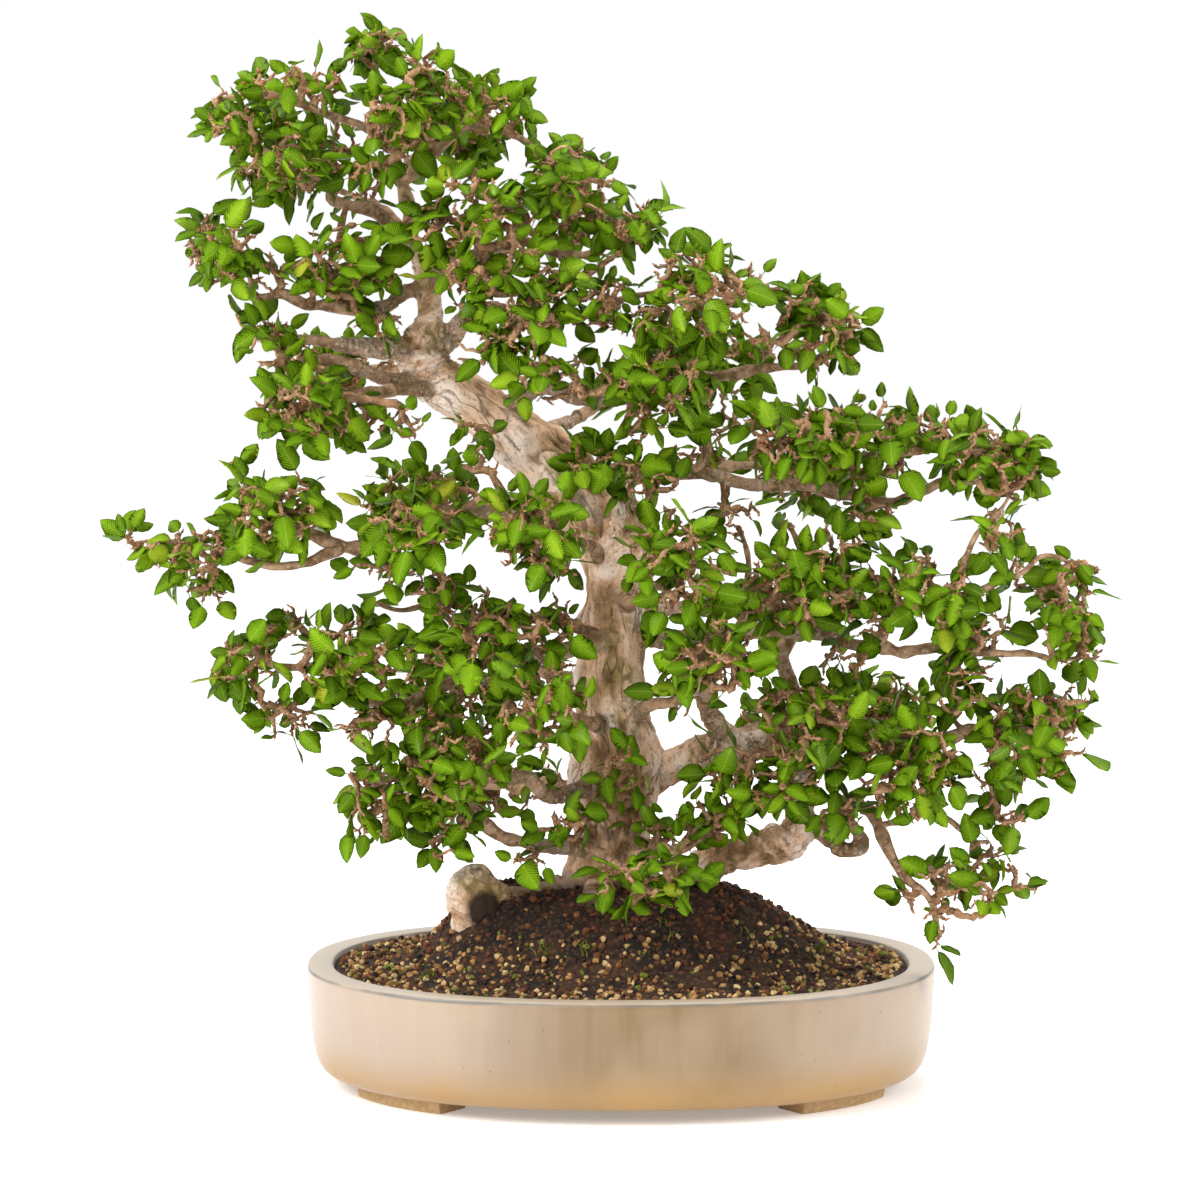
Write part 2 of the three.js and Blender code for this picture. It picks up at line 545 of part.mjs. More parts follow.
// Height of the soil: level at the wall, a mound with a broad top round the trunks and a
// smaller one under the root knob at the left, with slow ripples.
function soilLevel(x, y) {
  const spread = ((x - 10) / MOUND_REACH[0]) ** 2 + ((y - 4) / MOUND_REACH[1]) ** 2;
  const mound = MOUND_HEIGHT * Math.exp(-(spread ** 2));
  const knob = KNOB_MOUND_HEIGHT * Math.exp(-(((x + 108) / 44) ** 2) - ((y + 14) / 58) ** 2);
  const ripple = 1.6 * Math.sin(x / 23 + 1) * Math.cos(y / 19) * Math.exp(-((x / 190) ** 2) - (y / 140) ** 2);
  return RIM_LEVEL - SOIL_EDGE_DROP + mound + knob + ripple;
}

function soilSolid(woodClearance) {
  const edge = RIM_LEVEL - SOIL_EDGE_DROP;
  const wall = POT_INSIDE.slice(1).reverse().map(([inset, level]) => (
    outline(inset + SEAT_GAP, Math.max(level, FLOOR_LEVEL + SEAT_GAP))));
  const rings = [[new THREE.Vector3(0, 0, FLOOR_LEVEL + SEAT_GAP)], ...wall, outline(SOIL_EDGE_INSET, edge)];
  const ringCount = 6;
  for (let k = 1; k < ringCount; k += 1) {
    const share = 1 - k / ringCount;
    rings.push(outline(SOIL_EDGE_INSET, edge).map((point) => {
      const x = point.x * share;
      const y = point.y * share;
      return new THREE.Vector3(x, y, soilLevel(x, y));
    }));
  }
  rings.push([new THREE.Vector3(0, 0, soilLevel(0, 0))]);
  let soil = toSolid(loft(rings)).subtract(woodClearance);
  for (const x of [-DRAIN_SPACING / 2, DRAIN_SPACING / 2]) {
    const size = SCREEN_SIZE + 2 * SEAT_GAP;
    const recess = new THREE.BoxGeometry(size, size, 2 * (SCREEN_THICKNESS + 2 * SEAT_GAP));
    recess.translate(x, 0, FLOOR_LEVEL);
    soil = soil.subtract(toSolid(recess));
  }
  return largestBody(soil);
}

// Sheet of mesh: a plate with square openings between its bars.
function screenSolid() {
  let sheet = toSolid(new THREE.BoxGeometry(SCREEN_SIZE, SCREEN_SIZE, SCREEN_THICKNESS));
  const pitch = (SCREEN_SIZE - SCREEN_BAR) / SCREEN_CELLS;
  const size = pitch - SCREEN_BAR;
  for (let i = 0; i < SCREEN_CELLS; i += 1) {
    for (let j = 0; j < SCREEN_CELLS; j += 1) {
      const opening = new THREE.BoxGeometry(size, size, 2 * SCREEN_THICKNESS);
      opening.translate((i - (SCREEN_CELLS - 1) / 2) * pitch, (j - (SCREEN_CELLS - 1) / 2) * pitch, 0);
      sheet = sheet.subtract(toSolid(opening));
    }
  }
  return sheet;
}

// Wood: every limb as a tube through its stations, with more sides the thicker it is.
function limbSides(radius) {
  if (radius > 22) return 10;
  if (radius > 12) return 7;
  if (radius > 8.5) return 5;
  return radius > 4.2 ? 4 : 3;
}

// Stations that a limb needs: those where it bends or changes in thickness.
function shapedStations(stations) {
  const kept = [stations[0]];
  for (let k = 1; k + 1 < stations.length; k += 1) {
    const from = kept[kept.length - 1];
    const done = distance(from, stations[k]);
    const share = done / (done + distance(stations[k], stations[k + 1]));
    const straight = from.map((value, j) => value + (stations[k + 1][j] - value) * share);
    if (distance(straight, stations[k]) > BEND_KEPT) kept.push(stations[k]);
  }
  kept.push(stations[stations.length - 1]);
  return kept;
}

function distance(a, b) {
  return Math.hypot(...a.map((value, j) => value - b[j]));
}

// Places along a limb, four to each stretch, with the limb's radius there.
function routePlaces(stations) {
  const places = [];
  for (let k = 1; k < stations.length; k += 1) {
    for (const share of [0.25, 0.5, 0.75, 1]) {
      const [x, y, z, radius] = stations[k - 1].map((value, j) => value + (stations[k][j] - value) * share);
      places.push({ point: new THREE.Vector3(x, y, z), radius });
    }
  }
  return places;
}

// Every limb that starts near another one starts on that one's centre line.
function rootedRoutes() {
  const routes = [];
  for (const stations of Object.values(LIMBS)) {
    const shaped = shapedStations(stations);
    const start = new THREE.Vector3(...shaped[0]);
    const places = routes.flatMap(routePlaces).filter(({ point }) => point.distanceTo(start) < ROOT_REACH);
    places.sort((a, b) => a.point.distanceTo(start) - b.point.distanceTo(start));
    if (places.length > 0) shaped[0] = [...places[0].point.toArray(), shaped[0][3]];
    routes.push(shaped);
  }
  return routes;
}

const limbRoutes = rootedRoutes();

function limbSolid(stations, extra, index) {
  const path = stations.map(([x, y, z]) => new THREE.Vector3(x, y, z));
  const thickest = Math.max(...stations.map((station) => station[3]));
  const radii = stations.map((station) => station[3] + extra);
  const fluted = thickest > 12 ? 0.1 : 0;
  const flute = (angle, k) => 1 + fluted * Math.sin(3 * angle + 0.5 * k + index) * Math.cos(2 * angle + k);
  return tube(path, radii, limbSides(thickest), flute);
}

// Knob of old root at the soil's left edge: a lumpy ball.
function rootKnobSolid(extra) {
  const ball = new THREE.IcosahedronGeometry(1, 1);
  const points = ball.attributes.position;
  for (let i = 0; i < points.count; i += 1) {
    const [x, y, z] = [points.getX(i), points.getY(i), points.getZ(i)];
    const lump = 1 + 0.12 * Math.sin(4.1 * x + 2 * z) * Math.cos(3.7 * y - 1.4 * z);
    const [width, depth, height] = ROOT_KNOB.half;
    points.setXYZ(i, width * x * lump, depth * y * lump, height * z * lump);
  }
  const grown = 1 + extra / Math.min(...ROOT_KNOB.half);
  ball.scale(grown, grown, grown);
  ball.translate(...ROOT_KNOB.centre);
  return toSolid(ball);
}

function woodSolid(extra) {
  const limbs = limbRoutes.map((stations, index) => limbSolid(stations, extra, index));
  return largestBody(join([...limbs, rootKnobSolid(extra)]));
}

// Leaf along +X with its face up: a three-sided petiole, then a blade that is thickest at
// the midrib and ends in a sharp toothed edge.
function leafGeometry(length, extra) {
  const half = (length * LEAF_WIDTH) / 2;
  const droop = (x) => -LEAF_DROOP * length * (x / (PETIOLE_LENGTH + length)) ** 2;
  const points = [];
  const add = (x, y, z) => points.push(x, y, droop(x) + z) / 3 - 1;
  const neck = PETIOLE_WIDTH / 2 + extra;
  const [root, joint] = [0, PETIOLE_LENGTH].map((x) => [
    add(x, 0, neck), add(x, neck, -neck / 2), add(x, -neck, -neck / 2),
  ]);
  const middle = PETIOLE_LENGTH + 0.4 * length;
  const ridge = add(middle, 0, LEAF_THICKNESS / 2 + extra);
  const keel = add(middle, 0, -LEAF_THICKNESS / 2 - extra);
  const tip = add(PETIOLE_LENGTH + length + 2 * extra, 0, 0);
  const faces = [root[0], root[1], root[2], keel, joint[2], joint[1]];
  for (let i = 0; i < 3; i += 1) {
    const next = (i + 1) % 3;
    faces.push(root[i], joint[next], root[next], root[i], joint[i], joint[next]);
  }
  for (const hand of [1, -1]) {
    const edge = LEAF_EDGE.map(([along, across]) => {
      const y = across * half + 1.5 * extra;
      return add(PETIOLE_LENGTH + along * length, hand * y, LEAF_FOLD * y);
    });
    const rim = [hand > 0 ? joint[1] : joint[2], ...edge, tip];
    for (const [centre, fan] of [[ridge, [joint[0], ...rim]], [keel, rim]]) {
      const flip = (centre === ridge) === hand > 0;
      for (let i = 0; i + 1 < fan.length; i += 1) {
        faces.push(centre, flip ? fan[i + 1] : fan[i], flip ? fan[i] : fan[i + 1]);
      }
    }
  }
  const geometry = new THREE.BufferGeometry();
  geometry.setAttribute('position', new THREE.Float32BufferAttribute(points, 3));
  geometry.setIndex(faces);
  return geometry;
}

// Leaf placed with its root at a point, running along a direction with its face turned
// as nearly as it can be towards the given side.
function placedLeaf(root, direction, facing, length, extra) {
  const across = facing.clone().cross(direction).normalize();
  const normal = direction.clone().cross(across);
  const frame = new THREE.Matrix4().makeBasis(direction, across, normal).setPosition(root);
  return toSolid(leafGeometry(length, extra).applyMatrix4(frame));
}

function boxesMeet(a, b) {
  return [0, 1, 2].every((k) => a.min[k] <= b.max[k] && b.min[k] <= a.max[k]);
}

function isClear(solid, others) {
  const box = solid.boundingBox();
  return others.every((other) => !boxesMeet(box, other.box) || solid.intersect(other.solid).isEmpty());
}

function withBox(solid) {
  return { solid, box: solid.boundingBox() };
}

// Nearest point to a pad on any limb thin enough to carry twigs, away from the feet of
// the sprays that already grow there.
function nearestLimbPoint(target, taken) {
  let best = null;
  for (const { point, radius } of limbRoutes.flatMap(routePlaces)) {
    const reach = point.distanceTo(target) + 2 * radius;
    const crowded = taken.some((foot) => foot.distanceTo(point) < FOOT_SPACING);
    if (radius > THICKEST_CARRIER || crowded) continue;
    if (best === null || reach < best.reach) best = { point, reach };
  }
  return best.point;
}

function randomDirection(random) {
  const height = 2 * random() - 1;
  const angle = 2 * Math.PI * random();
  const flat = Math.sqrt(1 - height * height);
  return new THREE.Vector3(flat * Math.cos(angle), flat * Math.sin(angle), height);
}

// Spray of foliage: twigs reach from the nearest limb to points spread through the pad,
// each starting from the nearest place that already grows, and carry leaves at their ends.
function spraySolid(pad, foot, seed, others, woodClearance) {
  const random = seededRandom(seed);
  const centre = new THREE.Vector3(...pad.centre);
  const half = new THREE.Vector3(...pad.half);
  const grown = [foot];
  const pieces = [];
  const tips = [];
  for (let wanted = 0; wanted < pad.tips; wanted += 1) {
    const sector = (2 * Math.PI * (wanted + random() * 0.5)) / pad.tips;
    for (let attempt = 0; attempt < 40 && tips.length === wanted; attempt += 1) {
      const angle = sector + attempt * 0.5;
      const reach = 0.62 + 0.3 * random();
      const offset = new THREE.Vector3(
        Math.cos(angle) * reach, (2 * random() - 1) * 0.8, Math.sin(angle) * reach);
      const target = centre.clone().add(offset.multiply(half));
      const twig = twigTo(target, grown, random);
      if (!isClear(twig.wide, others)) continue;
      const outside = twig.solid.subtract(woodClearance);
      const longest = outside.decompose().reduce((most, body) => Math.max(most, body.volume()), 0);
      if (longest < 0.9 * outside.volume()) continue;
      if (longest < (pieces.length > 0 ? 0.97 : 0.3) * twig.solid.volume()) continue;
      pieces.push(twig.solid);
      tips.push(twig);
      grown.push(...twig.path.slice(1));
    }
  }
  const blades = [];
  for (const twig of tips) {
    for (let k = 0; k < LEAVES_PER_TIP; k += 1) {
      const away = blades.filter((blade) => blade.twig !== twig);
      const blade = clearLeaf(twig, k, centre, [...others, ...away], woodClearance, random);
      if (blade) {
        blades.push({ ...withBox(blade.wide), twig });
        pieces.push(blade.solid);
      }
    }
  }
  return largestBody(join(pieces).subtract(woodClearance));
}

// Sprays are drawn again until no edge is so short that rounding could close it up.
function soundSpray(pad, foot, seed, others, woodClearance) {
  let best = null;
  for (let draw = 0; draw < MOST_DRAWS; draw += 1) {
    const spray = spraySolid(pad, foot, seed + 1000 * draw, others, woodClearance);
    const edge = shortestEdge(spray);
    if (best === null || edge > best.edge) best = { spray, edge };
    if (edge > SHORTEST_EDGE) break;
  }
  return best.spray;
}

function shortestEdge(solid) {
  const { vertProperties, triVerts } = solid.getMesh();
  let shortest = Infinity;
  for (let i = 0; i < triVerts.length; i += 1) {
    const from = 3 * triVerts[i];
    const to = 3 * triVerts[i % 3 === 2 ? i - 2 : i + 1];
    const length = Math.hypot(...[0, 1, 2].map((k) => vertProperties[from + k] - vertProperties[to + k]));
    shortest = Math.min(shortest, length);
  }
  return shortest;
}

// Twig to a target from the nearest place that already grows, with a slight bow and a
// thicker end where its buds sit.
function twigTo(target, grown, random) {
  const start = grown.reduce((best, point) => (
    point.distanceTo(target) < best.distanceTo(target) ? point : best));
  const span = start.distanceTo(target);
  const bow = randomDirection(random).multiplyScalar(TWIG_BOW * span);
  const path = [start, start.clone().lerp(target, 0.5).add(bow), target];
  const radii = TWIG_TAPER.map((share) => share * TWIG_RADIUS);
  const solid = tube(path, radii, TWIG_SIDES);
  const wide = tube(path, radii.map((radius) => radius + BLADE_GAP), TWIG_SIDES);
  return { path, solid, wide };
}

// Leaf at a twig's end. It is aimed outwards and down a little, and aimed again until it
// clears everything that is already in place.
function clearLeaf(twig, order, centre, others, woodClearance, random) {
  const end = twig.path[2];
  const along = end.clone().sub(twig.path[1]).normalize();
  const outward = end.clone().sub(centre).normalize();
  for (let attempt = 0; attempt < 14; attempt += 1) {
    const turn = (order % 2 === 0 ? 1 : -1) * (0.6 + 0.5 * random());
    const direction = along.clone().multiplyScalar(0.5)
      .addScaledVector(outward, 0.7)
      .add(new THREE.Vector3(0, 0, -0.25))
      .addScaledVector(randomDirection(random), 0.25 + 0.08 * attempt)
      .applyAxisAngle(new THREE.Vector3(0, 0, 1), turn)
      .normalize();
    const facing = new THREE.Vector3(0, -0.35, 1).addScaledVector(randomDirection(random), 0.45).normalize();
    const length = LEAF_LENGTH[0] + (LEAF_LENGTH[1] - LEAF_LENGTH[0]) * random();
    const root = end.clone().addScaledVector(along, -1.2);
    const wide = placedLeaf(root, direction, facing, length, BLADE_GAP);
    if (isClear(wide, others) && wide.intersect(woodClearance).isEmpty()) {
      return { solid: placedLeaf(root, direction, facing, length, 0), wide };
    }
  }
  return null;
}

function namedMesh(name, geometry, finish) {
  const mesh = new THREE.Mesh(geometry, new THREE.MeshStandardMaterial(MATERIALS[finish]));
  mesh.name = name;
  return mesh;
}

function bonsai() {
  const wood = woodSolid(0);
  const woodClearance = woodSolid(SEAT_GAP);
  const pot = potSolid();
  const soil = soilSolid(woodClearance);
  const tree = new THREE.Group();
  tree.add(namedMesh('pot', toGeometry(pot), 'stoneware'));
  tree.add(namedMesh('soil', toGeometry(soil), 'soil'));
  tree.add(namedMesh('wood', toGeometry(wood), 'bark'));
  [['drain_screen_left', -1], ['drain_screen_right', 1]].forEach(([name, side]) => {
    const screen = namedMesh(name, toGeometry(screenSolid()), 'screen');
    screen.position.set((side * DRAIN_SPACING) / 2, 0, FLOOR_LEVEL + SEAT_GAP + SCREEN_THICKNESS / 2);
    tree.add(screen);
  });
  const placed = [withBox(pot), withBox(soil)];
  const feet = [];
  Object.entries(PADS).forEach(([name, pad], index) => {
    feet.push(nearestLimbPoint(new THREE.Vector3(...pad.centre), feet));
    const spray = soundSpray(pad, feet[index], 101 + index, placed, woodClearance);
    placed.push(withBox(spray));
    const plain = name.replace(/[A-Z]/g, (letter) => `_${letter.toLowerCase()}`);
    tree.add(namedMesh(`spray_${plain}`, toGeometry(spray), 'leaf'));
  });
  return tree;
}

// The origin lies on the ground, under the middle of the whole tree's box.
const tree = bonsai();
const box = new THREE.Box3().setFromObject(tree, true);
const middle = box.getCenter(new THREE.Vector3());
tree.position.set(-middle.x, -middle.y, 0);
const root = new THREE.Group();
root.add(tree);

export default root;
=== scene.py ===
# Korean hornbeam bonsai in an oval stoneware pot: a leaning tree with two trunks that rise
# from one root base, branches in layered pads of small toothed leaves, and gritty soil.
# Metres, +Z up, standing on its four feet at z = 0, with the tree's front facing -Y.

import bpy
import numpy as np
from mathutils import Matrix, Vector


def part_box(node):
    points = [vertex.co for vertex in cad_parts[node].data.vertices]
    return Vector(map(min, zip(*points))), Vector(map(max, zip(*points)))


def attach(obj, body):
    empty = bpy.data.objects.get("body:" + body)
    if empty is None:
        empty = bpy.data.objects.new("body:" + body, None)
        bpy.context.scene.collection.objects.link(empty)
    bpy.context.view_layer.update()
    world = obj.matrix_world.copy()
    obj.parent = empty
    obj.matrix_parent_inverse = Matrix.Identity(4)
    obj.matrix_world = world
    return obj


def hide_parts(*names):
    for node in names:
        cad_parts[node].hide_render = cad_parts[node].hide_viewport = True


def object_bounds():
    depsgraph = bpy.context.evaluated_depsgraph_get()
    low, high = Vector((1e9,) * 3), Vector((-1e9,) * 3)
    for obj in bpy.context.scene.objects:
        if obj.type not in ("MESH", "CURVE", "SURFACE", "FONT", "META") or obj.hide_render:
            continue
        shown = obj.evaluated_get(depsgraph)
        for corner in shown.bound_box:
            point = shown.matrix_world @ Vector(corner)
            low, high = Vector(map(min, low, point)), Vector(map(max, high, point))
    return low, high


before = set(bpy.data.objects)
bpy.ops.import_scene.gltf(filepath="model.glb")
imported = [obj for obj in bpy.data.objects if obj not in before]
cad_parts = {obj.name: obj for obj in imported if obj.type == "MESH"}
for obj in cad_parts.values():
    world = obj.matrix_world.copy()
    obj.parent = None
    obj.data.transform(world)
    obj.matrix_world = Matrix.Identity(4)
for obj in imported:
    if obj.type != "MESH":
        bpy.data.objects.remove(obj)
cad_low, cad_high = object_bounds()


# Camera. It stands three metres in front of the pot's middle, a little over half a metre up,
# and looks down slightly, so that the rim shows as a narrow oval.
pot_low, pot_high = (np.array(corner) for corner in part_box("pot"))
POT_MIDDLE = (pot_low + pot_high) / 2 * (1.0, 1.0, 0.0)
CAMERA_PLACE = POT_MIDDLE + (-0.016, -3.0, 0.6102)
CAMERA_PITCH = 4.62
CAMERA_LENS, CAMERA_SENSOR = 118.78, 36.0

camera_data = bpy.data.cameras.new("camera")
camera_data.lens, camera_data.sensor_width = CAMERA_LENS, CAMERA_SENSOR
camera_data.clip_end = 100.0
camera = bpy.data.objects.new("camera", camera_data)
camera.matrix_world = (Matrix.Translation(CAMERA_PLACE)
                       @ Matrix.Rotation(np.radians(90.0 - CAMERA_PITCH), 4, "X"))
bpy.context.scene.collection.objects.link(camera)
bpy.context.scene.camera = camera


# Studio: a pale floor, a white surround, and large soft lamps, the strongest of them at the
# upper left in front.
FLOOR_REACH, FLOOR_SIDES = 14.0, 96
FLOOR_TONES = (248, 248, 248), (252, 252, 252)
FLOOR_GLOW, FLOOR_GLOW_RISE = 0.42, (0.4, 1.6)
GLOW_NEAR, WHITE = (0.6, 0.6, 0.6, 1.0), (1.0, 1.0, 1.0, 1.0)
SURROUND_FRONT, SURROUND_SIDES = (0.16, 0.16, 0.16, 1.0), (0.85, 0.85, 0.85, 1.0)
SURROUND_RISE = (-0.9, 0.1)
LAMP_SIZE, LAMP_AIM = 1.6, np.array([0.0, 0.0, 0.4])
LAMPS = {
    "left_lamp": ((-2.1, -1.2, 1.9), 66.0),
    "right_lamp": ((2.3, -0.7, 1.5), 36.0),
    "front_lamp": ((-0.7, -2.8, 1.7), 26.0),
    "top_lamp": ((0.2, 0.2, 3.0), 50.0),
}


class Wire:
    """One output of a shader node. Arithmetic on it adds Math nodes to the same tree."""

    def __init__(self, socket):
        self.socket = socket

    def node(self, kind, settings=(), sockets=(), output=0):
        """Add a node: its settings first, then a value or a wire for each socket."""
        tree = self.socket.id_data
        made = tree.nodes.new(kind)
        for name, value in dict(settings).items():
            if name == "stops":
                ramp = made.color_ramp.elements
                while len(ramp) < len(value):
                    ramp.new(0.5)
                for stop, (position, colour) in zip(ramp, value):
                    stop.position, stop.color = position, colour
            else:
                setattr(made, name, value)
        for name, value in dict(sockets).items():
            if isinstance(value, Wire):
                tree.links.new(value.socket, made.inputs[name])
            else:
                made.inputs[name].default_value = value
        return Wire(made.outputs[output])

    def math(self, operation, first, second=0.0):
        return self.node("ShaderNodeMath", {"operation": operation}, {0: first, 1: second})

    def __add__(self, other):
        return self.math("ADD", self, other)

    def __radd__(self, other):
        return self.math("ADD", other, self)

    def __sub__(self, other):
        return self.math("SUBTRACT", self, other)

    def __rsub__(self, other):
        return self.math("SUBTRACT", other, self)

    def __mul__(self, other):
        return self.math("MULTIPLY", self, other)

    def __rmul__(self, other):
        return self.math("MULTIPLY", other, self)

    def __abs__(self):
        return self.math("ABSOLUTE", self)

    def sine(self):
        return self.math("SINE", self)

    def step(self, low, high):
        """Smooth rise from 0 at one value to 1 at the other, which may be the lower."""
        return self.node("ShaderNodeMapRange", {"interpolation_type": "SMOOTHSTEP"},
                         {0: self, 1: low, 2: high, 3: 0.0, 4: 1.0})

    def part(self, axis):
        return self.node("ShaderNodeSeparateXYZ", (), {0: self}, "XYZ".index(axis))

    def vector_math(self, operation, other=(0.0, 0.0, 0.0), output=0):
        return self.node("ShaderNodeVectorMath", {"operation": operation},
                         {0: self, 1: other}, output)

    def stretched(self, x, y, z):
        return self.vector_math("MULTIPLY", (x, y, z))

    def noise(self, scale, detail=2.0, roughness=0.5):
        return self.node("ShaderNodeTexNoise", (), {
            "Vector": self, "Scale": scale, "Detail": detail, "Roughness": roughness})

    def cells(self, scale, feature="F1"):
        return self.node("ShaderNodeTexVoronoi", {"feature": feature},
                         {"Vector": self, "Scale": scale}, "Distance")

    def attribute(self, name, output="Fac"):
        return self.node("ShaderNodeAttribute", {"attribute_name": name}, (), output)

    def ramp(self, *stops):
        """Colour that passes through tones, each given with the value where it stands."""
        return self.node("ShaderNodeValToRGB", {"stops": stops}, {0: self})

    def tint(self, low, high):
        """Colour that goes from one tone to another as the value goes from 0 to 1."""
        return self.node("ShaderNodeMix", {"data_type": "RGBA"}, {0: self, 6: low, 7: high}, 2)

    def bump(self, strength, distance):
        return self.node("ShaderNodeBump", (), {
            "Height": self, "Strength": strength, "Distance": distance})


def tone(red, green, blue):
    """Linear colour of a tone given by its screen values from 0 to 255."""
    share = np.array([red, green, blue]) / 255.0
    linear = np.where(share <= 0.04045, share / 12.92, ((share + 0.055) / 1.055) ** 2.4)
    return (*linear.tolist(), 1.0)


def new_finish(name, **constants):
    """Material with one shader and its fixed values, and a wire of Object coordinates."""
    material = bpy.data.materials.new(name)
    material.use_nodes = True
    shader = material.node_tree.nodes["Principled BSDF"]
    for socket, value in constants.items():
        shader.inputs[socket.replace("_", " ")].default_value = value
    place = Wire(material.node_tree.nodes.new("ShaderNodeTexCoord").outputs["Object"])
    return material, shader, place


def wire_up(shader, **wires):
    """Feed a shader's sockets, each named with _ in place of a space."""
    for socket, wire in wires.items():
        shader.id_data.links.new(wire.socket, shader.inputs[socket.replace("_", " ")])


def new_mesh(name, points, *face_groups):
    """Mesh from an array of points and arrays of faces, each with its own corner count."""
    mesh = bpy.data.meshes.new(name)
    mesh.vertices.add(len(points))
    mesh.vertices.foreach_set("co", np.asarray(points, np.float32).ravel())
    corners = np.concatenate([group.ravel() for group in face_groups]).astype(np.int32)
    counts = np.concatenate([np.full(len(group), group.shape[1]) for group in face_groups])
    mesh.loops.add(len(corners))
    mesh.loops.foreach_set("vertex_index", corners)
    mesh.polygons.add(len(counts))
    mesh.polygons.foreach_set("loop_start", (np.cumsum(counts) - counts).astype(np.int32))
    mesh.polygons.foreach_set("use_smooth", np.ones(len(counts), bool))
    mesh.update(calc_edges=True)
    return mesh


def even_turns(count):
    """Angles that part a full turn evenly, from 0 to the last one before the full turn."""
    return np.linspace(0.0, 2.0 * np.pi, count + 1)[:-1]


def flat_circle(count):
    """Points round a level circle of unit radius: cosine, sine and 0 of each angle."""
    angle = even_turns(count)
    return np.stack([np.cos(angle), np.sin(angle), 0.0 * angle], axis=1)


floor_mesh = new_mesh("floor", flat_circle(FLOOR_SIDES) * FLOOR_REACH,
                      np.arange(FLOOR_SIDES)[None, :])
floor_material, floor_shader, place = new_finish("floor_paint", Roughness=0.85)
far = place.vector_math("LENGTH", output=1)
wire_up(floor_shader, Base_Color=place.noise(0.7).tint(*(tone(*shade) for shade in FLOOR_TONES)),
        Emission_Color=far.step(*FLOOR_GLOW_RISE).tint(GLOW_NEAR, WHITE))
floor_shader.inputs["Emission Strength"].default_value = FLOOR_GLOW
floor_mesh.materials.append(floor_material)
floor = bpy.data.objects.new("floor", floor_mesh)
bpy.context.scene.collection.objects.link(floor)

surround = bpy.data.worlds.new("surround")
surround.use_nodes = True
background = surround.node_tree.nodes["Background"]
heading = Wire(surround.node_tree.nodes.new("ShaderNodeTexCoord").outputs["Generated"])
seen = heading.node("ShaderNodeLightPath", (), (), "Is Camera Ray")
glow = heading.part("Y").step(*SURROUND_RISE).tint(SURROUND_FRONT, SURROUND_SIDES)
surround.node_tree.links.new(seen.tint(glow, WHITE).socket, background.inputs["Color"])
bpy.context.scene.world = surround
bpy.context.scene.view_settings.view_transform = "Standard"

for lamp_name, (lamp_place, lamp_power) in LAMPS.items():
    lamp_data = bpy.data.lights.new(lamp_name, "AREA")
    lamp_data.shape = "DISK"
    lamp_data.size = LAMP_SIZE
    lamp_data.energy = lamp_power
    lamp = bpy.data.objects.new(lamp_name, lamp_data)
    aim = Vector((LAMP_AIM - lamp_place).tolist()).to_track_quat("-Z", "Y")
    lamp.matrix_world = Matrix.Translation(lamp_place) @ aim.to_matrix().to_4x4()
    bpy.context.scene.collection.objects.link(lamp)


# Pot: low oval stoneware with a flat rim turned inwards, pressed in a mould and dipped in a
# cream glaze that breaks grey along the rim. Two drain holes and four small tie-down holes go
# through its floor. The profile gives inset and level in millimetres, outside first.
POT_HALF, POT_ROUNDNESS = (0.2395, 0.1905), 2.26
POT_SIDES = 192
POT_CORE = 0.002
POT_PROFILE = np.array([
    (200.0, 9.0), (60.0, 9.0), (30.0, 9.0), (24.0, 9.3), (19.0, 10.2), (14.5, 12.2),
    (11.0, 15.2), (8.2, 19.5), (6.2, 25.0), (4.6, 32.0), (3.2, 42.0), (1.9, 54.0),
    (0.9, 68.0), (0.2, 80.0), (0.0, 88.2), (0.3, 90.3), (1.2, 91.6), (2.8, 92.0),
    (10.0, 92.0), (17.2, 92.0), (19.2, 91.6), (20.4, 90.4), (21.0, 88.0), (22.0, 78.0),
    (23.6, 58.0), (25.4, 38.0), (28.5, 27.0), (34.0, 21.0), (42.0, 19.0), (200.0, 19.0),
]) / 1000.0
SHARP_EDGE = np.radians(40)
DRAIN_HOLES = [((-0.11, 0.0), 0.015), ((0.11, 0.0), 0.015)]
TIE_HOLES = [((x, y), 0.003) for x in (-0.066, 0.066) for y in (-0.0616, 0.0616)]
HOLE_SIDES, HOLE_LEVELS = 48, (0.004, 0.026)


def pot_outline(angle, inset):
    """Plan of the pot: half length and half depth less the inset, each times the cosine or
    sine raised to two over the roundness, with its sign kept."""
    return tuple(np.maximum(half - inset, POT_CORE) * np.sign(wave)
                 * np.abs(wave) ** (2.0 / POT_ROUNDNESS)
                 for half, wave in zip(POT_HALF, (np.cos(angle), np.sin(angle))))


def pot_rings(angle, insets, levels):
    """Rings of the pot's plan, one for each inset from the outline and its level."""
    x, y = pot_outline(angle[None, :], insets[:, None])
    return np.stack([x, y, np.broadcast_to(levels[:, None], x.shape)], axis=-1)


def closed_loft(rings):
    """Points and faces of a skin over rings of equal count, shape (rings, count, 3). Each
    ring joins the next by four-sided faces, and a fan to a middle point closes each end."""
    ring_count, count = rings.shape[:2]
    points = np.concatenate([rings.reshape(-1, 3), [rings[0].mean(0)], [rings[-1].mean(0)]])
    here = np.arange(count)
    after = (here + 1) % count
    low = np.arange(ring_count - 1)[:, None] * count
    quads = np.stack([low + here, low + after, low + count + after, low + count + here], axis=-1)
    first = np.stack([np.full(count, ring_count * count), after, here], axis=1)
    top = (ring_count - 1) * count
    last = np.stack([np.full(count, ring_count * count + 1), top + here, top + after], axis=1)
    return points, quads.reshape(-1, 4), np.concatenate([first, last])


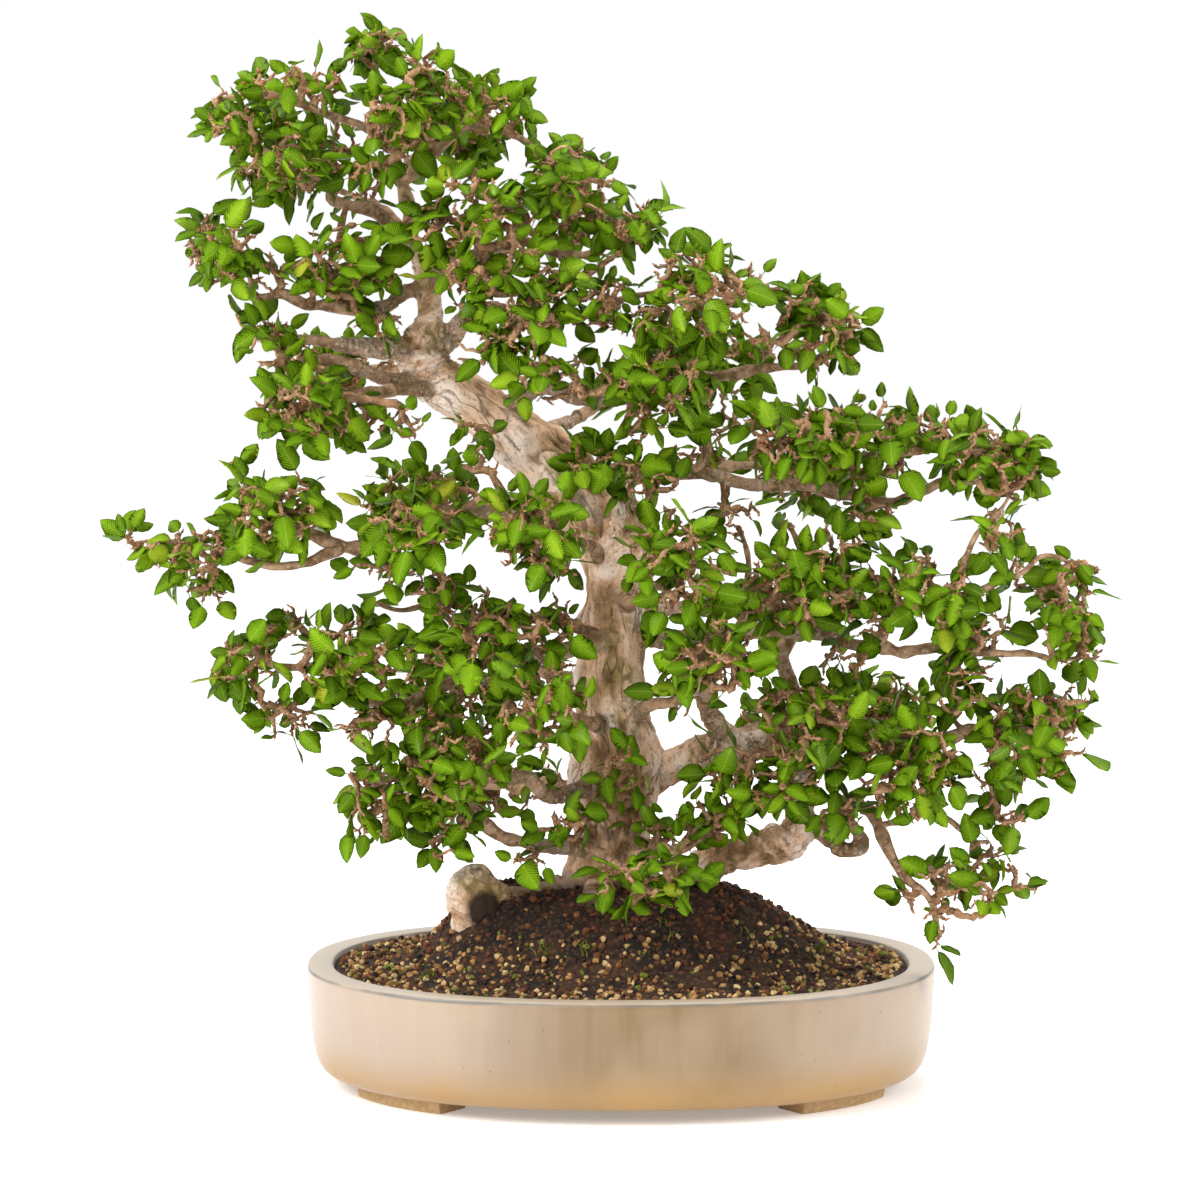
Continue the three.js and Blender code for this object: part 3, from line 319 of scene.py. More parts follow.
def add_piece(name, mesh, material, slot, *replaced):
    """Put a finished mesh into the scene, riding on the one body."""
    mesh.materials.append(material)
    piece = bpy.data.objects.new(name, mesh)
    bpy.context.scene.collection.objects.link(piece)
    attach(piece, "root")
    if replaced:
        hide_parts(*replaced)
    return piece


def settle(piece):
    """Work a piece's modifiers into its mesh."""
    evaluated = piece.evaluated_get(bpy.context.evaluated_depsgraph_get())
    mesh = bpy.data.meshes.new_from_object(evaluated)
    piece.modifiers.clear()
    piece.data = mesh
    return mesh


def layered(base, *coats):
    """Colour of a base under coats, each a share from 0 to 1 and the colour it brings."""
    for share, colour in coats:
        base = share.tint(base, colour)
    return base


glaze, glaze_shader, place = new_finish(
    "cream_glaze", Roughness=0.34, Specular_IOR_Level=0.35, Coat_Weight=0.2, Coat_Roughness=0.12)
turn = even_turns(POT_SIDES)
pot_skin = closed_loft(pot_rings(turn, *POT_PROFILE.T) + POT_MIDDLE)
pot = add_piece("pot_body", new_mesh("pot_body", *pot_skin), glaze, "stoneware", "pot")
cutters = []
for hole_place, hole_radius in DRAIN_HOLES + TIE_HOLES:
    ring = flat_circle(HOLE_SIDES) * hole_radius + POT_MIDDLE + (*hole_place, 0.0)
    cutter = bpy.data.objects.new("cutter", new_mesh("cutter", *closed_loft(
        np.stack([ring + (0.0, 0.0, level) for level in HOLE_LEVELS]))))
    bpy.context.scene.collection.objects.link(cutter)
    cut = pot.modifiers.new("drain", "BOOLEAN")
    cut.operation, cut.solver, cut.object = "DIFFERENCE", "EXACT", cutter
    cutters.append(cutter)
settle(pot).set_sharp_from_angle(angle=SHARP_EDGE)
for cutter in cutters:
    bpy.data.objects.remove(cutter)

level = place.part("Z")
cloud = place.noise(9.0, 3.0)
streak = place.stretched(1.0, 1.0, 0.12).noise(70.0, 3.0)
# Along the pot's length the glaze is painted darker and more yellow at the middle and lighter
# towards the ends. This is partly a stain, partly painted shade at the middle and painted
# reflection towards the ends.
painted_sheen_to_ends = abs(place.part("X") - 0.035).step(0.02, 0.21)
stain = level.step(0.058, 0.012) * 0.95 + streak.step(0.5, 0.75) * 0.05
stain = stain * (level.step(0.05, 0.018) * 0.55 + 0.2 + cloud.step(0.4, 0.65) * 0.35)
grey_line = (level + cloud * 0.004).step(0.0908, 0.0926) * level.step(0.0918, 0.0912)
wander = place.noise(28.0, 3.0).step(0.25, 0.6)
pinhole = place.cells(95.0).step(0.09, 0.05) * place.noise(40.0).step(0.48, 0.58)
drip = place.stretched(1.0, 1.0, 0.2).cells(24.0).step(0.06, 0.035)
drip = drip * place.noise(17.0).step(0.54, 0.6)
wire_up(glaze_shader,
        Base_Color=layered(
            # Base tone: painted shade at the middle and painted reflection towards the ends, over
            # part of a stain.
            painted_sheen_to_ends.tint(tone(127, 101, 65), tone(170, 151, 134)),
            (cloud.step(0.42, 0.68) * 0.4, tone(176, 155, 130)),
            (streak.step(0.40, 0.62) * 0.07, tone(200, 184, 164)),
            (stain, tone(166, 130, 78)),
            (level.step(0.0905, 0.0918) * 0.7, tone(206, 190, 170)),
            (grey_line * (wander * 0.75 + 0.1), tone(104, 104, 100)),
            (place.math("MAXIMUM", pinhole * 0.5, drip * 0.55), tone(104, 78, 48))),
        Roughness=0.30 + cloud * 0.12 + grey_line * 0.1,
        Normal=(cloud * 0.6 + streak * 0.25 - pinhole * 0.5).bump(0.35, 0.0008))


# Feet: four curved blocks that follow the body's edge, pressed on before firing and left
# without glaze, so that the bare clay shows.
FOOT_SPAN = (0.42, 0.94)
FOOT_STEPS = 22
FOOT_INSETS = (0.028, 0.054)
FOOT_LEVELS = np.array([0.0, 0.0008, 0.004, 0.0125])
FOOT_SWELLS = np.array([0.0, 0.0012, 0.0020, 0.0030])


def join_parts(parts):
    """Points and faces of several bodies as one, each body's faces counted on from the last."""
    starts = np.cumsum([0] + [len(part[0]) for part in parts[:-1]])
    points = np.concatenate([part[0] for part in parts])
    quads = np.concatenate([part[1] + start for part, start in zip(parts, starts)])
    triangles = np.concatenate([part[2] + start for part, start in zip(parts, starts)])
    return points, quads, triangles


foot_parts = []
near, far = FOOT_SPAN
for foot_from, foot_to in ((near, far), (np.pi - far, np.pi - near),
                           (np.pi + near, np.pi + far), (2 * np.pi - far, 2 * np.pi - near)):
    steps = np.linspace(foot_from, foot_to, FOOT_STEPS)
    outer = pot_rings(steps, FOOT_INSETS[0] - FOOT_SWELLS, FOOT_LEVELS)
    inner = pot_rings(steps[::-1], FOOT_INSETS[1] + FOOT_SWELLS, FOOT_LEVELS)
    foot_parts.append(closed_loft(np.concatenate([outer, inner], axis=1) + POT_MIDDLE))
feet_mesh = new_mesh("pot_feet", *join_parts(foot_parts))
feet_mesh.set_sharp_from_angle(angle=SHARP_EDGE)
clay, clay_shader, place = new_finish("bare_clay", Roughness=0.85)
speck = place.noise(260.0, 3.0)
wire_up(clay_shader,
        Base_Color=speck.step(0.30, 0.75).tint(tone(172, 140, 97), tone(194, 163, 119)),
        Normal=speck.bump(0.3, 0.0006))
add_piece("pot_feet", feet_mesh, clay, "stoneware")


# Drain screens: two sheets of dark plastic mesh that lie over the drain holes and keep the
# soil in. Their CAD solids stay, and take the plastic's look here.
screen_plastic, screen_shader, place = new_finish("screen_plastic", Roughness=0.5)
wire_up(screen_shader,
        Base_Color=place.noise(300.0).tint(tone(38, 42, 39), tone(56, 60, 56)),
        Normal=place.noise(900.0).bump(0.2, 0.0003))
for side in ("left", "right"):
    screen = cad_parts["drain_screen_" + side]
    screen.data.materials.clear()
    screen.data.materials.append(screen_plastic)


# Soil: gritty substrate of lava, pumice and bark, filled in loose and heaped up round the
# trunks and under the root knob at the left. A fine height field carries the loose grains.
# Its wall is given as inset and level in millimetres, from the floor up.
SOIL_EDGE_LEVEL = 0.0885
SOIL_WALL = np.array([(42.5, 19.4), (34.5, 21.4), (29.0, 27.4), (25.8, 38.4), (24.0, 58.4),
                      (22.4, 78.4), (21.4, 88.5)]) / 1000.0
SOIL_RINGS = 64
CRUMB_SIZES, CRUMB_HEIGHTS = (0.0042, 0.011), (0.0009, 0.0012)
MOUND_MIDDLE, MOUND_REACH, MOUND_HEIGHT = (0.010, 0.004), (0.138, 0.108), 0.062
HEAP_MIDDLE, HEAP_REACH, HEAP_HEIGHT = (-0.108, -0.014), (0.044, 0.058), 0.020
RIPPLE_LENGTHS, RIPPLE_REACH, RIPPLE_HEIGHT = (0.023, 0.019), (0.19, 0.14), 0.0016
GRAIN_COUNT = 5600
GRAIN_RADIUS = (0.0014, 0.0034)
GRAIN_SINK = (-0.35, 0.55)
GRAIN_MARGIN = 0.024
GRAIN_FLATNESS, GRAIN_ROUGHNESS = 0.62, 0.28
PEAT_LEVEL, PEAT_SPREAD = 0.122, 0.006


def soil_level(x, y):
    """Height of the soil over the pot's middle: the edge level, plus a mound with a broad
    top, a smaller bell-shaped heap under the root knob, and a ripple that dies out at the
    wall."""
    def away(middle, reach):
        return ((x - middle[0]) / reach[0]) ** 2 + ((y - middle[1]) / reach[1]) ** 2

    mound = MOUND_HEIGHT * np.exp(-away(MOUND_MIDDLE, MOUND_REACH) ** 2)
    heap = HEAP_HEIGHT * np.exp(-away(HEAP_MIDDLE, HEAP_REACH))
    ripple = RIPPLE_HEIGHT * np.sin(x / RIPPLE_LENGTHS[0] + 1.0) * np.cos(y / RIPPLE_LENGTHS[1])
    return SOIL_EDGE_LEVEL + mound + heap + ripple * np.exp(-away((0.0, 0.0), RIPPLE_REACH))


def lattice_noise(points, size, seed):
    """Smooth noise from -1 to 1: each corner of a lattice of the given size has its own
    number, scrambled from its place and the seed by products with large odd numbers, and a
    point takes the eased mix of the eight corners round it."""
    spot = np.asarray(points, float) / size + seed * 7.31
    cell = np.floor(spot).astype(np.int64)
    share = spot - cell
    share = share * share * (3.0 - 2.0 * share)
    total = np.zeros(len(spot))
    for corner in np.ndindex(2, 2, 2):
        x, y, z = (cell + corner).T
        mixed = (x * 73856093) ^ (y * 19349663) ^ (z * 83492791) ^ (seed * 2654435)
        mixed = ((mixed ^ (mixed >> 13)) * 1274126177) & 0x7FFFFFFF
        weight = np.where(np.array(corner), share, 1.0 - share).prod(axis=1)
        total += weight * ((mixed ^ (mixed >> 16)) & 0xFFFF) / 65535.0
    return total * 2.0 - 1.0


def unit(vectors):
    """Vectors divided by their length."""
    return vectors / np.linalg.norm(vectors, axis=-1, keepdims=True)


def random_directions(count):
    """Even directions: a normal draw on each axis, divided by its length."""
    return unit(chance.normal(size=(count, 3)))


chance = np.random.default_rng(20)
wall_rings = pot_rings(turn, *SOIL_WALL.T)
share = (1.0 - np.linspace(0.0, 1.0, SOIL_RINGS)[1:-1, None]) ** 0.9
top_x, top_y = wall_rings[-1, :, 0] * share, wall_rings[-1, :, 1] * share
top_flat = np.stack([top_x, top_y, 0.0 * top_x], axis=-1).reshape(-1, 3)
crumb = sum(height * lattice_noise(top_flat, size, seed)
            for seed, (size, height) in enumerate(zip(CRUMB_SIZES, CRUMB_HEIGHTS), 1))
top_z = soil_level(top_x, top_y) + crumb.reshape(top_x.shape) * np.minimum(1.0, 6 * (1 - share))
soil_rings = np.concatenate([wall_rings, np.stack([top_x, top_y, top_z], axis=-1)]) + POT_MIDDLE

earth, earth_shader, place = new_finish("damp_earth", Roughness=0.95)
crumbs = place.cells(230.0)
damp = place.noise(35.0, 4.0)
wire_up(earth_shader,
        Base_Color=layered(damp.step(0.35, 0.68).tint(tone(24, 14, 8), tone(62, 38, 22)),
                           (crumbs.step(0.5, 0.25) * 0.3, tone(120, 82, 46))),
        Normal=(crumbs * -0.7 + place.noise(500.0, 3.0) * 0.4).bump(0.8, 0.0016))
add_piece("soil_bed", new_mesh("soil_bed", *closed_loft(soil_rings)), earth, "soil_grit", "soil")

GOLDEN = (1 + 5 ** 0.5) / 2
BALL_POINTS = unit(np.array([
    (-1, GOLDEN, 0), (1, GOLDEN, 0), (-1, -GOLDEN, 0), (1, -GOLDEN, 0), (0, -1, GOLDEN),
    (0, 1, GOLDEN), (0, -1, -GOLDEN), (0, 1, -GOLDEN), (GOLDEN, 0, -1), (GOLDEN, 0, 1),
    (-GOLDEN, 0, -1), (-GOLDEN, 0, 1)]))
BALL_FACES = np.array([
    (0, 11, 5), (0, 5, 1), (0, 1, 7), (0, 7, 10), (0, 10, 11), (1, 5, 9), (5, 11, 4),
    (11, 10, 2), (10, 7, 6), (7, 1, 8), (3, 9, 4), (3, 4, 2), (3, 2, 6), (3, 6, 8), (3, 8, 9),
    (4, 9, 5), (2, 4, 11), (6, 2, 10), (8, 6, 7), (9, 8, 1)])


def scattered_lumps(middles, radii):
    """Twenty-sided lumps: every corner is pushed in or out a little, and the lump is turned
    by a frame made from two random directions squared up against each other."""
    count = len(middles)
    first = random_directions(count)
    second = unit(np.cross(first, random_directions(count)))
    turned = np.stack([first, second, np.cross(first, second)], axis=1)
    sizes = 1.0 + GRAIN_ROUGHNESS * chance.uniform(-1, 1, (count, len(BALL_POINTS), 1))
    squash = chance.uniform(GRAIN_FLATNESS, 1.0, (count, 1, 3))
    shaped = BALL_POINTS * sizes * squash * radii[:, None, None]
    points = np.einsum("nij,njk->nik", shaped, turned) + middles[:, None, :]
    faces = BALL_FACES + len(BALL_POINTS) * np.arange(count)[:, None, None]
    return points.reshape(-1, 3), faces.reshape(-1, 3)


def set_attribute(mesh, name, values):
    """Store one value for each point of a mesh, to be read by its material."""
    mesh.attributes.new(name, "FLOAT", "POINT").data.foreach_set(
        "value", np.asarray(values, np.float32).ravel())


spread = chance.uniform(-1, 1, (GRAIN_COUNT * 3, 2))
spread = spread[(np.abs(spread) ** POT_ROUNDNESS).sum(1) < 1][:GRAIN_COUNT]
grain_x, grain_y = (spread * (np.array(POT_HALF) - GRAIN_MARGIN)).T
grain_radii = chance.uniform(*GRAIN_RADIUS, GRAIN_COUNT)
grain_z = soil_level(grain_x, grain_y) + grain_radii * chance.uniform(*GRAIN_SINK, GRAIN_COUNT)
grain_points, grain_faces = scattered_lumps(
    np.stack([grain_x, grain_y, grain_z], axis=1) + POT_MIDDLE, grain_radii)
grain_mesh = new_mesh("soil_grains", grain_points, grain_faces)
grain_mesh.polygons.foreach_set("use_smooth", np.zeros(len(grain_faces), bool))
grain_draws = chance.uniform(0, 1, GRAIN_COUNT)
peaty = grain_z > PEAT_LEVEL + chance.normal(0, PEAT_SPREAD, GRAIN_COUNT)
set_attribute(grain_mesh, "grain_draw",
              np.repeat(grain_draws * np.where(peaty, 0.5, 1), len(BALL_POINTS)))
grit, grit_shader, place = new_finish("loose_grit", Roughness=0.9)
fleck = place.noise(420.0, 2.0)
grit_tone = place.attribute("grain_draw").ramp(
    (0.00, tone(30, 18, 10)), (0.22, tone(58, 34, 18)), (0.36, tone(96, 58, 30)),
    (0.44, tone(116, 60, 34)), (0.54, tone(144, 102, 52)), (0.74, tone(192, 148, 88)),
    (0.90, tone(228, 196, 140)), (0.95, tone(108, 122, 30)))
wire_up(grit_shader, Base_Color=(fleck.step(0.6, 0.35) * 0.4).tint(grit_tone, tone(48, 34, 24)),
        Normal=fleck.bump(0.5, 0.0006))
add_piece("soil_grains", grain_mesh, grit, "soil_grit")


# Wood: the trunks, limbs and roots grew as one piece. Each is a tube along its route, and the
# thick ones are melted into one skin with the lumps, flutes and cracks of old bark. Stations
# are x, y, z and radius in millimetres from the pot's middle, from the thick end out.
LIMBS = {
    "main_trunk": [(-11, 10, 117, 36), (-11, 8, 140, 38), (-11, 5, 160, 33), (-7, 2, 187, 31),
        (-5, 0, 215, 33), (-2, 0, 242, 35), (-5, 0, 265, 31), (-7, 0, 291, 28), (-6, 0, 330, 26),
        (-5, 0, 366, 24.5), (-2, 0, 392, 28), (-5, 0, 421, 31), (-27, 0, 448, 27),
        (-61, 0, 480, 24), (-92, 0, 504, 21.5), (-118, 0, 522, 19.5), (-142, 0, 539, 18.5),
        (-151, 0, 557, 18), (-146, 0, 579, 11), (-146, 0, 598, 9), (-148, 0, 621, 9),
        (-156, 0, 638, 7), (-164, 2, 670, 5), (-171, 4, 712, 3.6), (-179, 5, 749, 2.6),
        (-185, 6, 781, 1.6)],
    "low_trunk": [(53, 25, 114, 15), (59, 20, 136, 15), (63, 12, 157, 14.5), (80, 0, 171, 14),
        (97, -10, 177, 14), (117, -20, 183, 14.5), (132, -26, 192, 13), (135, -28, 209, 11),
        (132, -28, 227, 9.5), (137, -30, 249, 8.5), (137, -30, 283, 8), (131, -30, 296, 7.5),
        (127, -28, 312, 6.5), (122, -25, 328, 5.5), (135, -20, 353, 4.2), (139, -16, 377, 3.4),
        (137, -12, 403, 2.6), (128, -8, 425, 1.6)],
    "massive_limb": [(5, 8, 214, 17), (26, 0, 232, 15), (45, -8, 244, 13.5), (67, -18, 255, 12.5),
        (94, -28, 257, 12), (127, -35, 266, 11.5), (157, -40, 268, 10.5), (194, -46, 265, 8.5),
        (235, -52, 266, 6.5), (264, -56, 276, 5), (290, -58, 277, 4), (319, -58, 273, 3),
        (340, -54, 281, 1.8)],
    "curved_limb": [(91, -28, 258, 9.5), (77, -24, 270, 9), (68, -18, 283, 8), (64, -12, 300, 6.8),
        (70, -6, 319, 5.5), (83, -2, 341, 4.2), (92, 2, 368, 3.2), (94, 5, 398, 2.2),
        (89, 8, 422, 1.5)],
    "right_fork_limb": [(-143, 4, 556, 11), (-132, 4, 565, 9), (-122, 0, 576, 7.5),
        (-108, -6, 588, 6.5), (-87, -16, 589, 5.5), (-59, -28, 581, 4.6), (-29, -38, 583, 3.6),
        (0, -45, 594, 2.6), (30, -48, 603, 1.7)],
    "crown_left_low": [(-149, 0, 601, 6.5), (-165, -6, 603, 6), (-180, -14, 592, 5.6),
        (-198, -22, 592, 5), (-218, -28, 593, 4.4), (-236, -34, 591, 3.8), (-250, -38, 600, 3.2),
        (-268, -42, 599, 2.6), (-279, -44, 619, 2), (-293, -44, 635, 1.5)],
    "crown_left_high": [(-159, 0, 643, 5.5), (-177, -10, 654, 5), (-194, -18, 664, 4.5),
        (-218, -24, 671, 4), (-222, -25, 686, 3.4), (-247, -28, 697, 2.8), (-273, -30, 705, 2.3),
        (-292, -30, 728, 1.8), (-304, -30, 745, 1.4)],
    "crown_top_left": [(-170, 4, 708, 3.6), (-194, -12, 724, 3), (-231, -26, 743, 2.4),
        (-267, -34, 750, 1.9), (-301, -38, 745, 1.4)],
    "crown_top_right": [(-165, 2, 681, 4.2), (-139, -14, 707, 3.5), (-107, -28, 725, 2.9),
        (-68, -36, 710, 2.4), (-32, -40, 690, 1.9), (-9, -42, 675, 1.4)],
    "crown_right_high": [(-148, 4, 624, 6), (-131, -2, 628, 5.4), (-110, -10, 633, 4.9),
        (-87, -20, 637, 4.4), (-65, -28, 634, 3.9), (-46, -33, 627, 3.3), (-23, -36, 627, 2.6),
        (0, -36, 640, 2), (21, -34, 653, 1.5)],
    "crown_right_low": [(-146, 4, 603, 5.6), (-131, -8, 616, 5.2), (-114, -18, 618, 4.8),
        (-98, -26, 604, 4.4), (-79, -34, 601, 4), (-57, -40, 604, 3.4), (-31, -46, 611, 2.7),
        (-6, -50, 622, 1.7)],
    "left_stub": [(-157, -2, 556, 10), (-173, -10, 558, 9), (-189, -18, 559, 7.5),
        (-211, -26, 562, 5), (-237, -34, 565, 3.6), (-264, -40, 564, 2.6), (-283, -42, 575, 1.6)],
    "left_middle": [(-144, -4, 535, 7.5), (-163, -16, 533, 6.5), (-184, -28, 539, 5.6),
        (-212, -40, 548, 4.6), (-239, -50, 550, 3.6), (-257, -56, 536, 2.6),
        (-267, -58, 518, 1.6)],
    "left_low": [(-132, -8, 529, 7), (-155, -26, 529, 5.6), (-180, -42, 528, 4.8),
        (-200, -54, 522, 4), (-225, -62, 516, 3), (-241, -66, 499, 1.7)],
    "upper_right": [(-88, -4, 509, 10), (-72, -16, 526, 8), (-55, -26, 532, 7),
        (-35, -36, 524, 6.4), (-12, -38, 520, 6), (11, -38, 521, 5.6), (35, -36, 527, 5),
        (60, -36, 536, 4.4), (87, -36, 537, 3.8), (117, -36, 543, 3.1), (147, -32, 551, 2.4),
        (173, -28, 559, 1.6)],
    "upper_right_rise": [(2, -38, 522, 4.6), (15, -48, 540, 4), (30, -56, 558, 3.4),
        (54, -60, 576, 2.8), (82, -62, 594, 2.2), (111, -60, 604, 1.5)],
    "upper_right_hang": [(25, -37, 523, 4), (45, -42, 511, 3.8), (55, -44, 498, 3.5),
        (59, -42, 482, 3.3), (51, -36, 467, 3.4)],
    "middle_right": [(-25, 6, 456, 9), (-1, -14, 467, 6.5), (25, -26, 469, 6), (51, -36, 467, 5.8),
        (90, -40, 459, 5.2), (126, -42, 456, 4.7), (162, -44, 452, 4.2), (201, -46, 449, 3.7),
        (227, -46, 455, 3), (253, -44, 458, 2.3), (280, -40, 466, 1.5)],
    "middle_right_high": [(138, -43, 455, 3.8), (160, -50, 469, 3.3), (183, -54, 477, 2.9),
        (211, -56, 482, 2.5), (246, -54, 477, 2.1), (276, -50, 485, 1.7), (299, -46, 491, 1.3)],
    "lower_right": [(1, -4, 344, 10), (26, -20, 341, 8), (52, -32, 342, 7), (85, -42, 346, 6.4),
        (128, -48, 347, 5.8), (156, -52, 346, 5.3), (180, -56, 339, 4.8), (206, -60, 332, 4.3),
        (237, -64, 334, 3.7), (271, -66, 333, 3.1), (301, -66, 334, 2.5), (325, -62, 331, 2),
        (351, -56, 336, 1.4)],
    "lower_right_rise": [(190, -58, 337, 4), (201, -66, 360, 3.6), (223, -72, 368, 3.2),
        (249, -76, 377, 2.8), (273, -76, 389, 2.4), (297, -74, 394, 2), (322, -68, 406, 1.5),
        (348, -62, 403, 1.2)],
    "lower_right_up": [(246, -75, 375, 2.6), (252, -80, 402, 2.3), (262, -80, 420, 2),
        (274, -78, 438, 1.6), (289, -74, 455, 1.2)],
    "right_drop": [(162, -32, 219, 6), (181, -44, 216, 5.2), (191, -56, 199, 4.4),
        (204, -68, 178, 3.6), (219, -76, 159, 2.8), (231, -82, 143, 2.1), (241, -86, 126, 1.4)],
    "right_drop_out": [(206, -69, 176, 2.8), (230, -76, 171, 2.4), (250, -80, 160, 2),
        (277, -80, 156, 1.7), (297, -76, 159, 1.3)],
    "right_drop_high": [(189, -55, 204, 3), (210, -66, 210, 2.5), (233, -72, 211, 2.1),
        (248, -74, 199, 1.7), (261, -72, 187, 1.3)],
    "gnarled_stub": [(136, -25, 189, 9), (149, -32, 198, 8.5), (157, -38, 191, 8),
        (166, -40, 182, 7), (180, -40, 188, 5), (165, -36, 215, 6.2)],
    "lower_left": [(2, -12, 338, 9), (-19, -32, 339, 7.6), (-39, -42, 337, 7),
        (-61, -50, 333, 6.4), (-91, -58, 327, 5.8), (-117, -64, 318, 5.3), (-146, -70, 306, 4.9),
        (-172, -74, 297, 4.5), (-190, -76, 304, 4.1), (-205, -78, 318, 3.6), (-218, -78, 329, 3.2),
        (-232, -78, 346, 2.4), (-240, -74, 363, 1.5)],
    "lower_left_out": [(-216, -78, 328, 3.2), (-241, -84, 323, 2.7), (-261, -88, 328, 2.2),
        (-282, -88, 338, 1.7), (-298, -86, 327, 1.2)],
    "thin_left": [(-16, -16, 352, 5), (-46, -32, 357, 3.8), (-76, -42, 352, 3.2),
        (-104, -48, 351, 2.8), (-127, -50, 353, 2.4), (-145, -50, 367, 2), (-167, -48, 369, 1.6),
        (-191, -44, 374, 1.2)],
    "mossy_limb": [(-24, -14, 440, 10), (-45, -34, 445, 8.5), (-68, -44, 447, 8),
        (-87, -50, 444, 7.5), (-105, -56, 437, 7), (-124, -60, 434, 6.5), (-151, -66, 424, 5.8),
        (-179, -70, 412, 5.2), (-210, -74, 412, 4.6), (-236, -76, 421, 4), (-253, -76, 435, 3.2),
        (-272, -74, 448, 2.4), (-284, -70, 473, 1.5)],
    "mossy_limb_low": [(-205, -74, 411, 4), (-230, -82, 402, 3.5), (-258, -86, 399, 3),
        (-287, -88, 407, 2.5), (-314, -86, 412, 2), (-341, -80, 419, 1.5), (-362, -76, 418, 1.2)],
    "low_left": [(-11, -18, 229, 9), (-35, -38, 226, 7), (-55, -48, 223, 6.2),
        (-73, -56, 236, 5.6), (-91, -62, 238, 5), (-111, -68, 240, 4.4), (-134, -74, 245, 3.8),
        (-161, -78, 249, 3), (-184, -80, 242, 2.2), (-202, -78, 232, 1.5)],
    "lowest_left": [(-22, -20, 179, 8), (-46, -42, 184, 6), (-73, -56, 190, 5),
        (-91, -62, 200, 4.4), (-111, -68, 219, 3.8), (-132, -72, 227, 3.2), (-154, -76, 225, 2.4),
        (-174, -78, 211, 1.6)],
    "front_low": [(-22, -24, 183, 5.5), (-28, -50, 188, 4.5), (-17, -78, 185, 3.6),
        (-7, -100, 177, 2.6), (9, -118, 165, 1.5)],
    "front_low_right": [(11, -22, 185, 5.5), (22, -52, 185, 4.3), (35, -80, 188, 3.2),
        (46, -104, 179, 2.2), (50, -120, 168, 1.4)],
    "front_high": [(-16, -18, 400, 5.5), (-23, -50, 411, 4), (-37, -84, 419, 2.8),
        (-51, -114, 427, 1.5)],
    "front_middle": [(1, -18, 366, 5.5), (15, -50, 378, 4), (34, -84, 383, 2.8),
        (53, -114, 392, 1.5)],
    "front_left_middle": [(-13, -22, 274, 6), (-31, -54, 285, 4.4), (-54, -88, 292, 3.2),
        (-80, -118, 292, 1.6)],
    "front_right_middle": [(11, -20, 281, 6), (29, -54, 297, 4.2), (52, -86, 308, 3),
        (75, -114, 321, 1.5)],
    "back_low": [(-8, 20, 220, 9), (-24, 62, 217, 6.6), (-59, 104, 209, 4.6), (-96, 140, 209, 3),
        (-132, 170, 200, 1.6)],
    "back_low_right": [(60, -6, 252, 8), (83, 44, 254, 6.2), (130, 88, 263, 4.8),
        (184, 124, 265, 3.4), (238, 148, 258, 1.6)],
    "back_left": [(-11, 16, 297, 9), (-28, 56, 299, 6.8), (-66, 100, 300, 5),
        (-113, 138, 291, 3.4), (-161, 164, 293, 1.7)],
    "back_right": [(1, 16, 350, 8.5), (24, 56, 354, 6.4), (72, 98, 357, 4.8), (130, 134, 352, 3.2),
        (186, 156, 341, 1.6)],
    "back_middle_left": [(-13, 18, 408, 8), (-42, 58, 421, 6), (-91, 96, 431, 4.4),
        (-146, 126, 431, 3), (-197, 146, 423, 1.5)],
    "back_middle_right": [(-16, 16, 454, 7.5), (21, 52, 461, 5.6), (71, 86, 466, 4.2),
        (134, 114, 461, 2.8), (191, 132, 454, 1.4)],
    "back_upper": [(-69, 14, 484, 7), (-42, 48, 500, 5.2), (1, 80, 517, 3.8), (54, 104, 532, 2.6),
        (104, 120, 543, 1.4)],
    "back_upper_left": [(-128, 8, 532, 6.5), (-149, 40, 540, 4.8), (-183, 70, 542, 3.6),
        (-224, 94, 539, 2.4), (-259, 108, 529, 1.4)],
    "back_crown": [(-147, 6, 595, 5.5), (-134, 36, 609, 4.2), (-105, 62, 624, 3.2),
        (-66, 84, 638, 2.2), (-25, 96, 641, 1.3)],
    "back_crown_left": [(-158, 4, 642, 5), (-176, 30, 659, 3.8), (-206, 54, 675, 2.9),
        (-243, 72, 687, 2), (-278, 84, 691, 1.3)],
    "back_top": [(-165, 4, 682, 4), (-153, 28, 704, 3), (-129, 46, 729, 2.2),
        (-104, 60, 743, 1.3)],
    "root_knob": [(-8, 0, 153, 14), (-39, -12, 148, 12), (-65, -22, 142, 11),
        (-88, -28, 143, 10.5), (-107, -32, 149, 14), (-116, -34, 136, 12), (-118, -34, 116, 10)],
    "front_root": [(-13, -16, 150, 15), (-22, -46, 138, 11), (-29, -72, 118, 8),
        (-34, -92, 98, 6)],
    "right_root": [(7, 0, 150, 15), (33, -20, 143, 11), (56, -40, 131, 8), (72, -54, 112, 6)],
    "back_root": [(-1, 20, 149, 15), (9, 56, 140, 11), (16, 84, 122, 8), (20, 104, 102, 6)],
}
JOIN_REACH = 0.016
ROUTE_STRIDE = 0.003
LIMB_BEND, BEND_SIZE = 0.0065, 0.034
BEND_THICKEST, BEND_EASE, BEND_START = 0.0105, 0.006, 8.0
THICK_WOOD, THICK_SIDES = 0.0048, 24
THIN_SIDES, THIN_OVERLAP = 9, 4
THIN_WOBBLE, WOBBLE_SIZE = 0.0013, 0.016
THIN_SWELL, SWELL_SIZE = (1.10, 0.36), 0.008
SKIN_CELL, SKIN_EASE, SKIN_BATCHES = 0.0022, (0.5, 5), 60
KNOB_MIDDLE, KNOB_SIZE = (-0.110, -0.034, 0.143), (0.0215, 0.0200, 0.0240)
KNOB_SIDES, KNOB_RINGS, KNOB_RISE, KNOB_LUMPS = 36, 20, 1.45, 0.10
